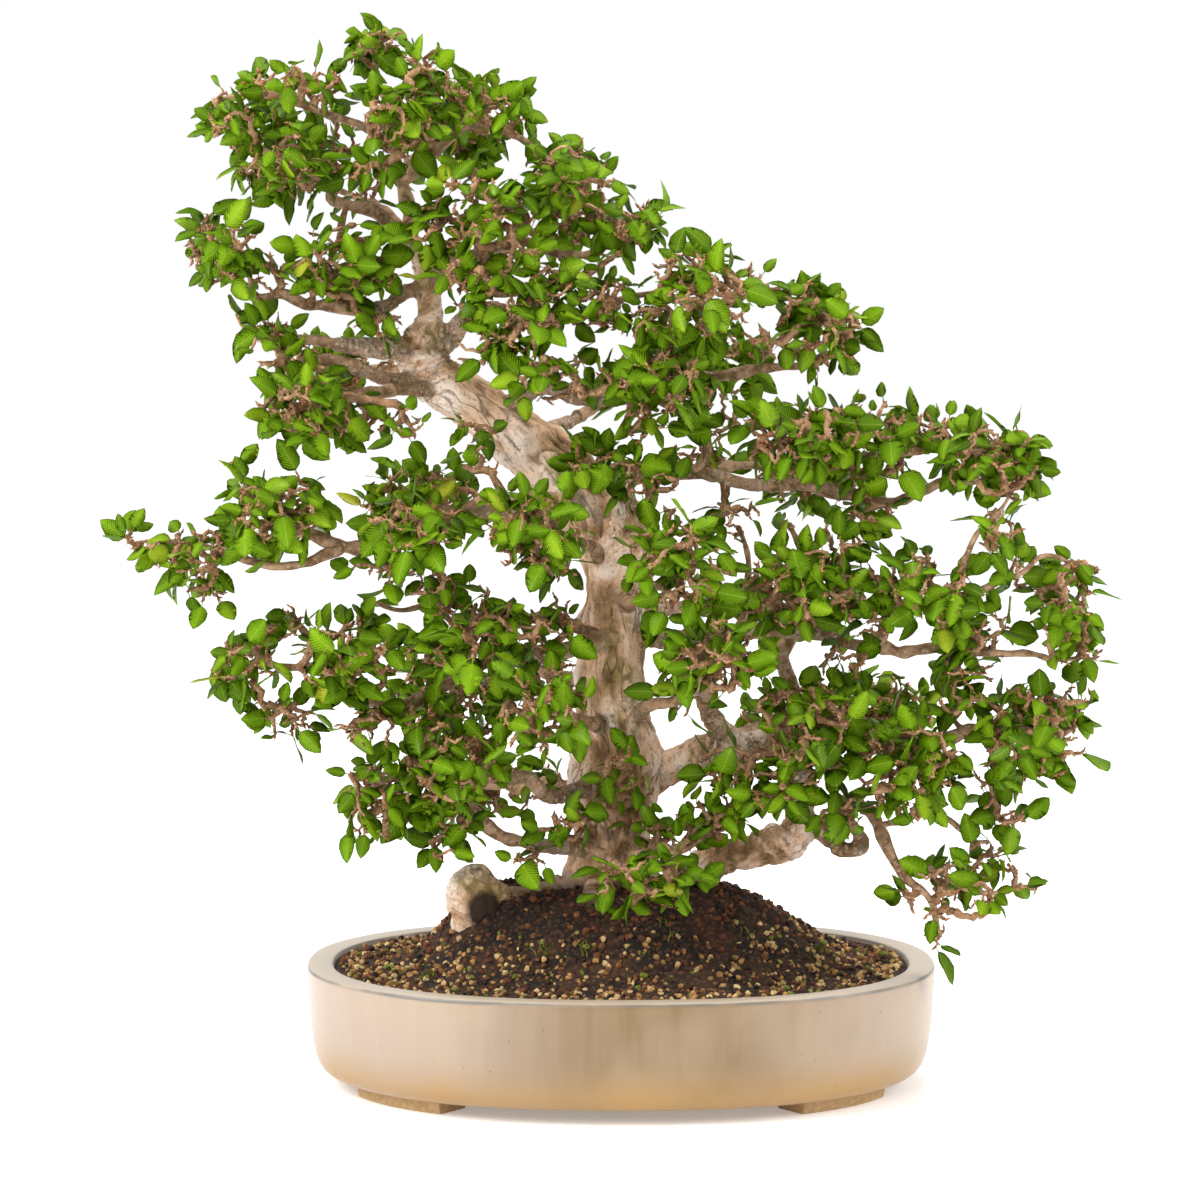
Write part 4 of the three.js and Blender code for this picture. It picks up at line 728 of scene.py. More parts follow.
# A dark patch beside the root knob is the painted shade of a hollow that the mesh does not have:
# its middle and its radius.
HOLLOW_SHADE_MIDDLE, HOLLOW_SHADE_SIZE = (-0.099, -0.055, 0.137), 0.017
LUMP_HEIGHTS, FLUTE_HEIGHT = (0.0040, 0.0024), 0.0034
FLAKE_HEIGHTS, CRACK_DEPTH = (0.0011, 0.0007), 0.0032
OLD_WOOD = 0.025
LIMB_SHIFT, GRAIN_STRETCH = 0.7, 0.22


def smooth_route(stations):
    """Curve through the stations: between two of them each value is the cubic that also
    heeds the stations before and after, then taken at equal strides of its length."""
    held = np.concatenate([stations[:1] * 2 - stations[1:2], stations,
                           stations[-1:] * 2 - stations[-2:-1]])
    before, here, after, beyond = (held[k:len(held) - 3 + k, None] for k in range(4))
    step = np.linspace(0.0, 1.0, 13)[None, :-1, None]
    curve = 0.5 * (2 * here + (after - before) * step
                   + (2 * before - 5 * here + 4 * after - beyond) * step ** 2
                   + (3 * here - before - 3 * after + beyond) * step ** 3)
    curve = np.concatenate([curve.reshape(-1, stations.shape[1]), stations[-1:]])
    strides = np.linalg.norm(np.diff(curve[:, :3], axis=0), axis=1)
    gone = np.concatenate([[0.0], np.cumsum(strides)])
    wanted = np.linspace(0.0, gone[-1], max(4, int(gone[-1] / ROUTE_STRIDE)))
    return np.stack([np.interp(wanted, gone, column) for column in curve.T], axis=1)


def route_frames(path):
    """Direction of each place on a path, and two directions square to it and each other,
    found from the axis that the path runs least along."""
    ahead = unit(np.gradient(path, axis=-2))
    least = np.abs(ahead).max(axis=-2).argmin(axis=-1)
    side = unit(np.cross(np.eye(3)[least][..., None, :], ahead))
    return ahead, side, np.cross(ahead, side)


def rings_along(paths, radii, sides):
    """Rings square to one path or many: the place, plus the radius times the cosine along
    one square direction and the sine along the other."""
    _, side, up = route_frames(paths)
    angle = even_turns(sides)[:, None]
    ring = np.cos(angle) * side[..., None, :] + np.sin(angle) * up[..., None, :]
    return paths[..., None, :] + ring * radii[..., None, None]


def lattice_push(points, size, seed):
    """Push of each point: lattice noise with its own seed on each axis."""
    return np.stack([lattice_noise(points, size, seed + axis) for axis in range(3)], axis=1)


routes = []
for stations in LIMBS.values():
    stations = np.array(stations, float) / 1000.0
    if routes:
        borne = np.concatenate(routes)
        reach = np.linalg.norm(borne[:, :3] - stations[0, :3], axis=1)
        if reach.min() < JOIN_REACH:
            stations[0, :3] = borne[reach.argmin(), :3]
    route = smooth_route(stations)
    slender = np.clip((BEND_THICKEST - route[:, 3:]) / BEND_EASE, 0.0, 1.0)
    beyond = np.clip(np.arange(len(route))[:, None] / BEND_START, 0.0, 1.0)
    route[:, :3] += LIMB_BEND * lattice_push(route[:, :3], BEND_SIZE, 11) * slender * beyond
    routes.append(route)
thick_parts, thin_parts = [], []
for route in routes:
    thick = int((route[:, 3] > THICK_WOOD).sum())
    if thick > 3:
        thick_parts.append(closed_loft(rings_along(
            route[:thick, :3] + POT_MIDDLE, route[:thick, 3], THICK_SIDES)))
    places, radii = np.split(route[max(thick - THIN_OVERLAP, 0):], [3], axis=1)
    if len(places) > 5:
        wobble = THIN_WOBBLE * lattice_push(places, WOBBLE_SIZE, 5)
        swollen = THIN_SWELL[0] + THIN_SWELL[1] * lattice_noise(places, SWELL_SIZE, 8)
        thin_parts.append(closed_loft(rings_along(
            places + wobble + POT_MIDDLE, radii[:, 0] * swollen, THIN_SIDES)))

angle, rise = np.meshgrid(
    even_turns(KNOB_SIDES), np.linspace(-KNOB_RISE, KNOB_RISE, KNOB_RINGS))
ball = np.stack([np.cos(angle) * np.cos(rise), np.sin(angle) * np.cos(rise), np.sin(rise)], -1)
swell = 1.0 + KNOB_LUMPS * lattice_noise(ball.reshape(-1, 3), 0.6, 9).reshape(*angle.shape, 1)
thick_parts.append(closed_loft(ball * KNOB_SIZE * swell + KNOB_MIDDLE + POT_MIDDLE))

bark, bark_shader, place = new_finish("old_bark", Roughness=0.85)
wood = add_piece("trunk_and_limbs", new_mesh("wood_core", *join_parts(thick_parts)), bark,
                 "bark", "wood")
melt = wood.modifiers.new("melt", "REMESH")
melt.mode, melt.voxel_size, melt.use_smooth_shade = "VOXEL", SKIN_CELL, True
ease = wood.modifiers.new("ease", "SMOOTH")
ease.factor, ease.iterations = SKIN_EASE
wood_mesh = settle(wood)
wood_mesh.name = "trunk_and_limbs"

# Relief: each place of the skin takes its thickness and direction from the nearest route, so
# that flutes, cracks and flakes run along the limb.
skin = np.zeros(len(wood_mesh.vertices) * 3, np.float32)
facing = skin.copy()
wood_mesh.vertices.foreach_get("co", skin)
wood_mesh.vertices.foreach_get("normal", facing)
skin, facing = skin.reshape(-1, 3).astype(float), facing.reshape(-1, 3).astype(float)
pith = np.concatenate(routes) + (*POT_MIDDLE, 0.0)
pith_ahead = np.concatenate([route_frames(route[:, :3])[0] for route in routes])
pith_along = np.concatenate([ROUTE_STRIDE * np.arange(len(route)) + LIMB_SHIFT * k
                             for k, route in enumerate(routes)])
nearest = np.concatenate([
    (np.sqrt(((part[:, None] - pith[None, :, :3]) ** 2).sum(-1)) - pith[:, 3]).argmin(1)
    for part in np.array_split(skin, SKIN_BATCHES)])
thickness, ahead = pith[nearest, 3], pith_ahead[nearest]
offset = skin - pith[nearest, :3]
out = offset - ahead * (offset * ahead).sum(1, keepdims=True)
out /= np.maximum(np.linalg.norm(out, axis=1, keepdims=True), 1e-6)
along = pith_along[nearest] + (offset * ahead).sum(1)
grain = out * thickness[:, None] + ahead * along[:, None] * GRAIN_STRETCH

age = np.clip(thickness / OLD_WOOD, 0.2, 1.0)
lumps = (lattice_noise(skin, 0.024, 11) * LUMP_HEIGHTS[0]
         + lattice_noise(skin, 0.011, 12) * LUMP_HEIGHTS[1])
flutes = lattice_noise(grain, 0.015, 13) * FLUTE_HEIGHT
strayed = grain + 0.004 * lattice_noise(skin, 0.02, 14)[:, None]
crack = np.clip(1.0 - np.abs(lattice_noise(strayed, 0.0075, 15)) * 5.0, 0.0, 1.0)
crack *= np.clip(lattice_noise(skin, 0.035, 16) * 2.0 + 0.6, 0.0, 1.0)
flake = (lattice_noise(grain, 0.0052, 17) * FLAKE_HEIGHTS[0]
         + lattice_noise(skin, 0.0046, 18) * FLAKE_HEIGHTS[1])
relief = ((lumps + flutes) * age + flake * np.clip(age * 1.6, 0, 1)
          - crack ** 1.5 * CRACK_DEPTH * age)
skin += facing * relief[:, None]
wood_mesh.vertices.foreach_set("co", skin.astype(np.float32).ravel())
wood_mesh.update()
# The cracks are kept for the bark's colour, which paints them darker: painted shade in the cracks.
set_attribute(wood_mesh, "crack", crack)
# The relief is kept for the bark's colour, which paints the ridges lighter and the hollows darker:
# painted light and painted shade.
set_attribute(wood_mesh, "relief", np.clip((lumps + flutes + flake) / 0.010 + 0.5, 0, 1))
set_attribute(wood_mesh, "age", age)
wood_mesh.attributes.new("grain", "FLOAT_VECTOR", "POINT").data.foreach_set(
    "vector", grain.astype(np.float32).ravel())

upward = place.node("ShaderNodeNewGeometry", (), (), "Normal")
fibres = place.attribute("grain", "Vector")
cloud = place.noise(24.0, 4.0, 0.6)
fine = place.noise(230.0, 4.0, 0.65)
strand = fibres.noise(210.0, 4.0, 0.6)
# Bark tone: random clouds and strands of the bark, plus the relief, so that ridges are painted
# lighter and hollows darker. This is painted light on the ridges and painted shade in the hollows.
shade = place.attribute("relief") * 0.8 + cloud * 0.45 + strand * 0.3 - 0.20
pits = place.noise(380.0, 2.0).step(0.42, 0.30)
young = place.attribute("age").step(0.50, 0.16)
moss_patch = place.noise(17.0, 3.0, 0.6) + upward.part("X") * 0.10 + upward.part("Z") * 0.05
moss = moss_patch.step(0.54, 0.66) * fine.step(0.30, 0.55)
moss_mottle = place.noise(90.0, 3.0).step(0.4, 0.65)
plates = fibres.cells(125.0, "DISTANCE_TO_EDGE")
fissure = plates.step(0.075, 0.015) * place.noise(34.0, 3.0).step(0.44, 0.56)
fissure = fissure * place.part("Z").step(0.17, 0.20)
# Dark bark: random dark patches of the bark, and the cracks painted darker, a painted shade in the
# cracks.
dark = (place.attribute("crack") * 0.7 + fine * 0.8 - 0.52).step(0.05, 0.42)
soiled = place.part("Z").step(0.166, 0.140) * place.part("X").step(-0.092, -0.076)
# Distance to the painted shade of the hollow beside the root knob.
to_hollow_shade = place.vector_math(
    "DISTANCE", tuple(POT_MIDDLE + HOLLOW_SHADE_MIDDLE), 1) + fine * 0.006
wire_up(bark_shader,
        Base_Color=layered(
            shade.ramp((0.16, tone(106, 78, 44)), (0.33, tone(172, 134, 92)),
                       (0.47, tone(222, 180, 142)), (0.64, tone(246, 212, 184)),
                       (0.82, tone(255, 234, 216))),
            (fine.step(0.50, 0.70) * 0.32, tone(238, 214, 196)),
            (pits * 0.45, tone(142, 104, 74)),
            (strand.step(0.50, 0.34) * 0.35, tone(140, 104, 72)),
            (young * 0.75, strand.step(0.35, 0.65).tint(tone(112, 82, 46), tone(186, 152, 120))),
            (moss * 0.72, moss_mottle.tint(tone(116, 100, 40), tone(176, 156, 92))),
            # Random dark patches, and painted shade in the cracks.
            (dark * 0.5, tone(92, 64, 40)),
            (fissure * 0.6, tone(84, 56, 36)),
            (soiled * 0.9, fine.step(0.35, 0.65).tint(tone(50, 29, 18), tone(96, 62, 40))),
            # Near-black painted shade of the hollow. The mesh has no hollow here.
            (to_hollow_shade.step(HOLLOW_SHADE_SIZE + 0.006, HOLLOW_SHADE_SIZE) * 0.95, tone(40, 25, 17))),
        Normal=(fine * 0.9 + strand * 0.4 - dark * 0.4 - pits * 0.3
                - fissure * 0.7).bump(0.75, 0.0022))

thin_bark, thin_shader, place = new_finish("branch_bark", Roughness=0.75)
fine = place.noise(300.0, 4.0, 0.6)
ring_mark = place.noise(110.0, 2.0).step(0.35, 0.65)
wire_up(thin_shader,
        Base_Color=layered(ring_mark.tint(tone(118, 86, 52), tone(182, 146, 112)),
                           (fine.step(0.50, 0.72) * 0.6, tone(222, 194, 168))),
        Normal=fine.bump(0.5, 0.0008))
add_piece("thin_branches", new_mesh("thin_branches", *join_parts(thin_parts)), thin_bark, "bark",
          "wood")


# Twigs: in every pad they grow from the limbs to points spread through it, knobbly and bent
# at their buds, and thicken with the number of tips that they feed. A pad is a middle and
# half sizes in millimetres: one for each CAD spray, and small ones that fill between them.
PADS = {
    "crown_tip": (-186, 4, 787, 27, 40, 21),
    "crown_top_left": (-244, -30, 753, 42, 40, 18),
    "crown_left_tip": (-289, -35, 727, 24, 45, 24),
    "crown_left": (-246, -48, 695, 39, 36, 25),
    "crown_middle": (-165, -52, 725, 34, 36, 34),
    "crown_right_high": (-99, -32, 735, 37, 40, 25),
    "crown_right": (-42, -45, 690, 36, 45, 27),
    "crown_right_tip": (8, -42, 650, 30, 45, 18),
    "crown_front": (-106, -72, 658, 49, 34, 30),
    "crown_back_left": (-250, 72, 710, 56, 40, 40),
    "crown_back": (-130, 62, 729, 57, 36, 40),
    "crown_back_right": (-38, 96, 661, 52, 40, 30),
    "left_high_tip": (-297, -48, 634, 28, 45, 30),
    "left_high": (-212, -56, 624, 37, 40, 33),
    "left_upper_tip": (-262, -50, 562, 20, 50, 24),
    "left_upper_low": (-228, -80, 516, 44, 46, 27),
    "right_fork": (-34, -66, 596, 44, 46, 27),
    "upper_right_high": (61, -70, 607, 47, 50, 28),
    "upper_right_tip": (148, -48, 572, 36, 55, 31),
    "upper_right_low": (28, -90, 533, 44, 40, 26),
    "middle_right": (131, -80, 493, 52, 46, 32),
    "middle_right_tip": (274, -58, 475, 42, 55, 33),
    "mossy_tip": (-318, -82, 410, 36, 45, 20),
    "mossy_middle": (-255, -94, 440, 40, 50, 34),
    "mossy_inner": (-153, -100, 429, 44, 40, 24),
    "front_high": (-63, -124, 429, 39, 36, 39),
    "front_middle": (42, -124, 401, 44, 36, 38),
    "lower_right_inner": (132, -88, 384, 47, 46, 34),
    "lower_right_up": (227, -92, 383, 37, 46, 32),
    "lower_right_top": (276, -82, 424, 22, 50, 17),
    "lower_right_tip": (330, -62, 364, 25, 50, 45),
    "lower_left_tip": (-277, -90, 329, 28, 50, 25),
    "lower_left": (-200, -100, 335, 42, 46, 34),
    "lower_left_inner": (-111, -106, 347, 41, 40, 29),
    "low_left_tip": (-182, -82, 224, 29, 50, 35),
    "low_left": (-126, -108, 260, 44, 42, 37),
    "front_left_middle": (-56, -132, 297, 38, 36, 35),
    "front_right_middle": (68, -130, 338, 39, 36, 32),
    "massive_inner": (132, -92, 285, 44, 46, 38),
    "massive_middle": (210, -92, 251, 44, 46, 41),
    "massive_tip": (308, -62, 272, 42, 55, 42),
    "right_drop": (244, -88, 157, 42, 42, 26),
    "front_low": (15, -128, 170, 44, 36, 25),
    "back_low": (-112, 150, 207, 54, 42, 38),
    "back_low_right": (207, 142, 262, 57, 42, 38),
    "back_left": (-136, 150, 295, 57, 42, 37),
    "back_right": (143, 136, 357, 57, 42, 36),
    "back_middle_left": (-158, 130, 433, 54, 42, 35),
    "back_middle_right": (149, 116, 465, 57, 42, 35),
    "back_upper": (62, 106, 544, 55, 42, 31),
    "back_upper_left": (-235, 96, 536, 45, 42, 34),
}
SMALL_PADS = [
    (-112, -70, 607, 25, 28, 21), (-68, -78, 577, 32, 30, 24), (-46, -80, 540, 37, 28, 21),
    (-107, -62, 562, 19, 22, 19), (-186, -52, 619, 21, 24, 18), (-181, -52, 579, 19, 24, 16),
    (-186, -54, 503, 16, 20, 16), (25, -72, 543, 33, 28, 19), (183, -60, 503, 28, 34, 19),
    (225, -58, 501, 24, 30, 15), (79, -60, 436, 25, 28, 10), (183, -60, 436, 24, 30, 15),
    (-22, -62, 470, 25, 18, 22), (21, -62, 464, 25, 24, 19), (-181, -92, 396, 21, 22, 14),
    (-141, -92, 391, 25, 24, 18), (-103, -96, 367, 23, 24, 21), (-62, -92, 346, 25, 24, 22),
    (260, -60, 352, 31, 34, 19), (255, -62, 319, 25, 30, 15), (-247, -92, 288, 26, 26, 16),
    (-186, -96, 281, 25, 24, 18), (5, -66, 235, 21, 18, 33), (77, -80, 249, 25, 24, 16),
    (113, -80, 231, 27, 28, 18), (150, -82, 249, 22, 28, 16), (34, -70, 200, 25, 22, 18),
    (74, -66, 212, 22, 22, 18), (-64, -76, 181, 16, 20, 12), (-125, -84, 206, 18, 20, 10),
    (280, -70, 177, 19, 26, 12), (-147, -30, 765, 23, 28, 17), (-186, -52, 690, 19, 26, 16),
    (-114, -58, 685, 21, 26, 18), (-150, -62, 649, 22, 24, 16), (-260, -54, 614, 16, 24, 15),
    (14, -74, 579, 33, 28, 16), (74, -70, 577, 21, 28, 15), (-107, -54, 498, 18, 18, 12),
    (190, -60, 471, 28, 28, 12), (37, -64, 427, 16, 22, 16), (-56, -88, 396, 24, 22, 15),
    (-144, -98, 285, 21, 24, 19), (-142, -94, 233, 22, 24, 19), (-45, -86, 210, 22, 20, 16),
    (225, -66, 240, 19, 28, 21), (185, -72, 359, 19, 26, 18), (298, -56, 393, 18, 28, 13),
    (280, -70, 237, 19, 24, 16), (-135, -84, 191, 15, 24, 12), (-162, -84, 505, 18, 24, 15),
    (250, -70, 300, 19, 24, 16), (73, -70, 207, 19, 24, 16), (-103, -84, 274, 18, 24, 15),
    (102, -70, 562, 19, 24, 16), (73, -70, 508, 19, 24, 16), (43, -70, 303, 19, 24, 16),
    (162, -70, 418, 19, 24, 16), (132, -70, 594, 19, 24, 16), (165, -70, 329, 19, 24, 16),
    (-104, -84, 477, 18, 24, 15), (284, -70, 213, 19, 24, 16), (14, -70, 507, 19, 24, 16),
    (-250, -84, 360, 18, 24, 15), (338, -70, 299, 19, 24, 16), (43, -70, 332, 19, 24, 16),
    (-306, -84, 388, 18, 24, 15), (-73, -84, 623, 18, 24, 15), (-45, -84, 363, 18, 24, 15),
    (163, -70, 210, 19, 24, 16), (191, -70, 390, 19, 24, 16), (-50, 92, 218, 22, 20, 13),
    (116, 80, 272, 26, 22, 14), (-58, 92, 310, 24, 22, 14), (62, 88, 366, 26, 22, 14),
    (-80, 86, 440, 24, 20, 14), (60, 76, 476, 24, 20, 14), (0, 74, 526, 22, 20, 13),
    (-174, 60, 552, 22, 18, 13), (-116, 50, 634, 20, 18, 13), (-190, 42, 676, 20, 16, 13),
]
PAD_TRIM = 0.92
TUFT_HALF = (0.013, 0.014, 0.010)
THIN_END = 0.002
TIP_SPACING, SMALL_TIP_SPACING = 0.0124, 0.0120
BALL_VOLUME, TIP_OUTWARD = 4.19, 0.38
PAD_REACH, LEAST_BEARERS = 1.2, 6
TWIG_RADIUS, TWIG_LARGEST = 0.00115, 0.0031
TWIG_GAIN_START, TWIG_GAIN_END = 0.42, 0.34
TWIG_PLACES = 5
TWIG_HANDS = np.array([0, 1, -1, 1, 0])[:, None]
TWIG_BOW, TWIG_KINK, TWIG_STRAY = 0.18, 0.06, 0.0007
TWIG_KNOBS = 0.38
LEAST_TWIG = 0.005
BEARING_WOOD = 0.011
KEEP_INSIDE = 0.012
inner_low = np.array(cad_low) - POT_MIDDLE + KEEP_INSIDE
inner_high = np.array(cad_high) - POT_MIDDLE - KEEP_INSIDE


def grow_pad(middle, half, spacing, growing):
    """A pad's middle and half sizes, paths of a few places each, and the number of tips
    beyond each path. Targets fill the pad's ellipsoid; the nearest are reached first, and
    every new path may bear later ones. A path is a straight line with a bow, plus a side
    step that swaps hands at each place."""
    tip_count = int(BALL_VOLUME * half.prod() / spacing ** 3)
    chosen = growing[((np.abs(growing - middle) / (half * PAD_REACH)) ** 2).sum(1) < 1.0]
    if len(chosen) < LEAST_BEARERS:
        chosen = growing[np.linalg.norm(growing - middle, axis=1).argsort()[:LEAST_BEARERS]]
    targets = random_directions(tip_count) * chance.uniform(0, 1, (tip_count, 1)) ** TIP_OUTWARD
    targets = np.clip(middle + targets * half, inner_low, inner_high)
    reach = np.linalg.norm(targets[:, None] - chosen[None], axis=-1).min(1)
    targets = targets[reach.argsort()]
    places, owner = chosen, np.full(len(chosen), -1)
    share = np.linspace(0.0, 1.0, TWIG_PLACES)[:, None]
    paths, bearer = [], []
    for target in targets:
        gap = np.linalg.norm(places - target, axis=1)
        start = gap.argmin()
        if gap[start] < LEAST_TWIG:
            continue
        line = target - places[start]
        bow, kink = np.cross(line, random_directions(2))
        path = (places[start] + share * line + np.sin(np.pi * share) * bow * TWIG_BOW
                + TWIG_HANDS * kink * TWIG_KINK + TWIG_HANDS * TWIG_STRAY * random_directions(1))
        paths.append(path)
        bearer.append(owner[start])
        places = np.concatenate([places, path[2:]])
        owner = np.concatenate([owner, np.full(TWIG_PLACES - 2, len(paths) - 1)])
    fed = np.ones(len(paths))
    for k in range(len(paths) - 1, -1, -1):
        if bearer[k] >= 0:
            fed[bearer[k]] += fed[k]
    return middle, half, np.reshape(paths, (-1, TWIG_PLACES, 3)), fed


def tubes_along(paths, radii, sides):
    """Tubes along many paths of equal length at once, shape (paths, places, 3)."""
    rings = rings_along(paths, radii, sides)
    count = len(paths)
    points = np.concatenate([rings.reshape(count, -1, 3), paths[:, :1], paths[:, -1:]], axis=1)
    _, quads, triangles = closed_loft(rings[0])
    starts = np.arange(count)[:, None, None] * points.shape[1]
    return (points.reshape(-1, 3), (quads + starts).reshape(-1, 4),
            (triangles + starts).reshape(-1, 3))


growing = np.concatenate([route[::4] for route in routes])
growing = growing[growing[:, 3] < BEARING_WOOD, :3]
sprays = {}
for pad_name, pad in PADS.items():
    middle, half = np.reshape(pad, (2, 3)) / 1000.0
    sprays[pad_name] = grow_pad(middle, half * PAD_TRIM, TIP_SPACING, growing)
growing = np.concatenate([growing] + [paths[:, 2::3].reshape(-1, 3)
                                      for _, _, paths, _ in sprays.values()])
small_pads = [np.reshape(pad, (2, 3)) / 1000.0 for pad in SMALL_PADS]
small_pads += [np.array([route[-1, :3], TUFT_HALF]) for route in routes if route[-1, 3] < THIN_END]
small_sprays = [grow_pad(*pad, SMALL_TIP_SPACING, growing) for pad in small_pads]
twig_paths, fed = (np.concatenate([spray[k] for spray in [*sprays.values(), *small_sprays]])
                   for k in (2, 3))
start_radius = np.minimum(TWIG_RADIUS * fed ** TWIG_GAIN_START, TWIG_LARGEST)
end_radius = np.minimum(TWIG_RADIUS * np.maximum(fed - 1, 1) ** TWIG_GAIN_END, TWIG_LARGEST * 0.8)
taper = np.linspace(0.0, 1.0, TWIG_PLACES)
twig_radii = start_radius[:, None] + (end_radius - start_radius)[:, None] * taper
twig_radii *= 1.0 + TWIG_KNOBS * chance.uniform(-0.6, 1.0, twig_radii.shape)

twig_bark, twig_shader, place = new_finish("twig_bark", Roughness=0.75, Specular_IOR_Level=0.2)
fine = place.noise(420.0, 3.0, 0.6)
mottle = place.noise(60.0, 2.0).step(0.35, 0.65)
wire_up(twig_shader,
        Base_Color=layered(mottle.tint(tone(118, 84, 54), tone(172, 132, 96)),
                           (fine.step(0.50, 0.70) * 0.6, tone(214, 182, 150))),
        Normal=fine.bump(0.4, 0.0005))
for first, name in enumerate(("twigs_even", "twigs_odd")):
    tubes = tubes_along(twig_paths[first::2] + POT_MIDDLE, twig_radii[first::2], 4)
    add_piece(name, new_mesh(name, *tubes), twig_bark, "bark")


# Buds: coppery scales that sit in tufts at the tips and on the twigs' bends. Each is a
# spindle: a foot, three corners a third of the way up, and a point.
BUDS_PER_TWIG = 2
BUD_LENGTH = (0.0026, 0.0062)
BUD_SPREAD = 0.9
SPINDLE_POINTS = np.array([(-0.15, 0, 0), (0.36, 0.24, 0), (0.36, -0.12, 0.21),
                           (0.36, -0.12, -0.21), (1.0, 0, 0)])
SPINDLE_FACES = np.array([(0, 2, 1), (0, 3, 2), (0, 1, 3), (4, 1, 2), (4, 2, 3), (4, 3, 1)])

bud_at = chance.integers(1, TWIG_PLACES, (len(twig_paths), BUDS_PER_TWIG))
bud_at[:, 0] = TWIG_PLACES - 1
bud_roots = np.take_along_axis(twig_paths, bud_at[..., None], axis=1).reshape(-1, 3)
bud_count = len(bud_roots)
bud_ahead = unit(np.repeat(twig_paths[:, -1] - twig_paths[:, -3], BUDS_PER_TWIG, axis=0))
bud_ahead = unit(bud_ahead + random_directions(bud_count) * BUD_SPREAD)
bud_across = unit(np.cross(bud_ahead, random_directions(bud_count)))
bud_frames = np.stack([bud_ahead, bud_across, np.cross(bud_ahead, bud_across)], axis=1)
bud_length = chance.uniform(*BUD_LENGTH, (bud_count, 1, 1))
bud_points = bud_roots[:, None] + bud_length * (SPINDLE_POINTS @ bud_frames)
bud_faces = SPINDLE_FACES + len(SPINDLE_POINTS) * np.arange(bud_count)[:, None, None]
scale, scale_shader, place = new_finish("bud_scales", Roughness=0.6, Specular_IOR_Level=0.2)
mottle = place.noise(240.0, 3.0).step(0.35, 0.65)
wire_up(scale_shader, Base_Color=mottle.tint(tone(128, 76, 48), tone(190, 136, 96)),
        Normal=place.noise(700.0).bump(0.4, 0.0004))
add_piece("buds", new_mesh("buds", bud_points.reshape(-1, 3) + POT_MIDDLE,
                           bud_faces.reshape(-1, 3)), scale, "bark")


# Leaves: oval and pointed with a toothed edge, thin closed blades that are folded along the
# midrib and bend towards the tip. They stand on short stalks at the twigs' tips and bends,
# most of them on a pad's top.
LEAF_LENGTH = (0.0094, 0.0272)
LEAF_WIDTH = (0.60, 0.81)
LEAF_THICKNESS = 0.0004
LEAF_PLACES = 6
LEAF_TOOTH = 0.03
LEAF_FOLD, LEAF_DROOP, LEAF_TWIST = (-0.05, 0.34), (-0.12, 0.40), (-0.35, 0.35)
LEAF_SITES = np.array([0.0, 0.09, 0.13, 0.17, 0.46])
LEAF_RISE = 0.45
LEAF_UP, LEAF_FORWARD, LEAF_HANG = (0.0, 0.0, 0.45), (0.0, -0.42, 0.0), (0.0, 0.0, -0.25)
LEAF_FAN = (0.35, 1.25)
LEAF_WAVE, LEAF_WAVES = 0.08, 8.0
STALK_LENGTH, STALK_RADIUS = 0.0042, 0.00045


def leaf_pattern():
    """Points of one leaf of unit length and width and its faces. Along it goes from 0 at the
    base to 1 at the tip. Half the width is the sine of pi times along to the power 0.82,
    raised to 0.55, and every other place of the edge is a tooth, a little further out."""
    count = LEAF_PLACES
    along = (np.arange(count) + 0.7) / (count + 0.4)
    half = 0.5 * np.sin(np.pi * along ** 0.82) ** 0.55
    tooth = 1.0 - LEAF_TOOTH * (-1.0) ** np.arange(count)
    middle = np.stack([along, 0 * along, 0 * along], axis=1)
    left = np.stack([along, half * tooth, 0 * along], axis=1)
    points = np.concatenate([middle, left, left * (1, -1, 1), middle, [[0, 0, 0], [1.06, 0, 0]]])
    row = np.arange(count - 1)
    top, rim_left, rim_right, under = (k * count for k in range(4))
    quads = np.concatenate([
        np.stack([first + row, first + row + 1, second + row + 1, second + row], axis=1)
        for first, second in ((top, rim_left), (rim_right, top),
                              (rim_left, under), (under, rim_right))])
    base, tip, last = 4 * count, 4 * count + 1, count - 1
    triangles = np.array([
        (base, top, rim_left), (base, rim_right, top), (base, rim_left, under),
        (base, under, rim_right), (tip, rim_left + last, top + last),
        (tip, top + last, rim_right + last), (tip, under + last, rim_left + last),
        (tip, rim_right + last, under + last)])
    return points, quads, triangles, under


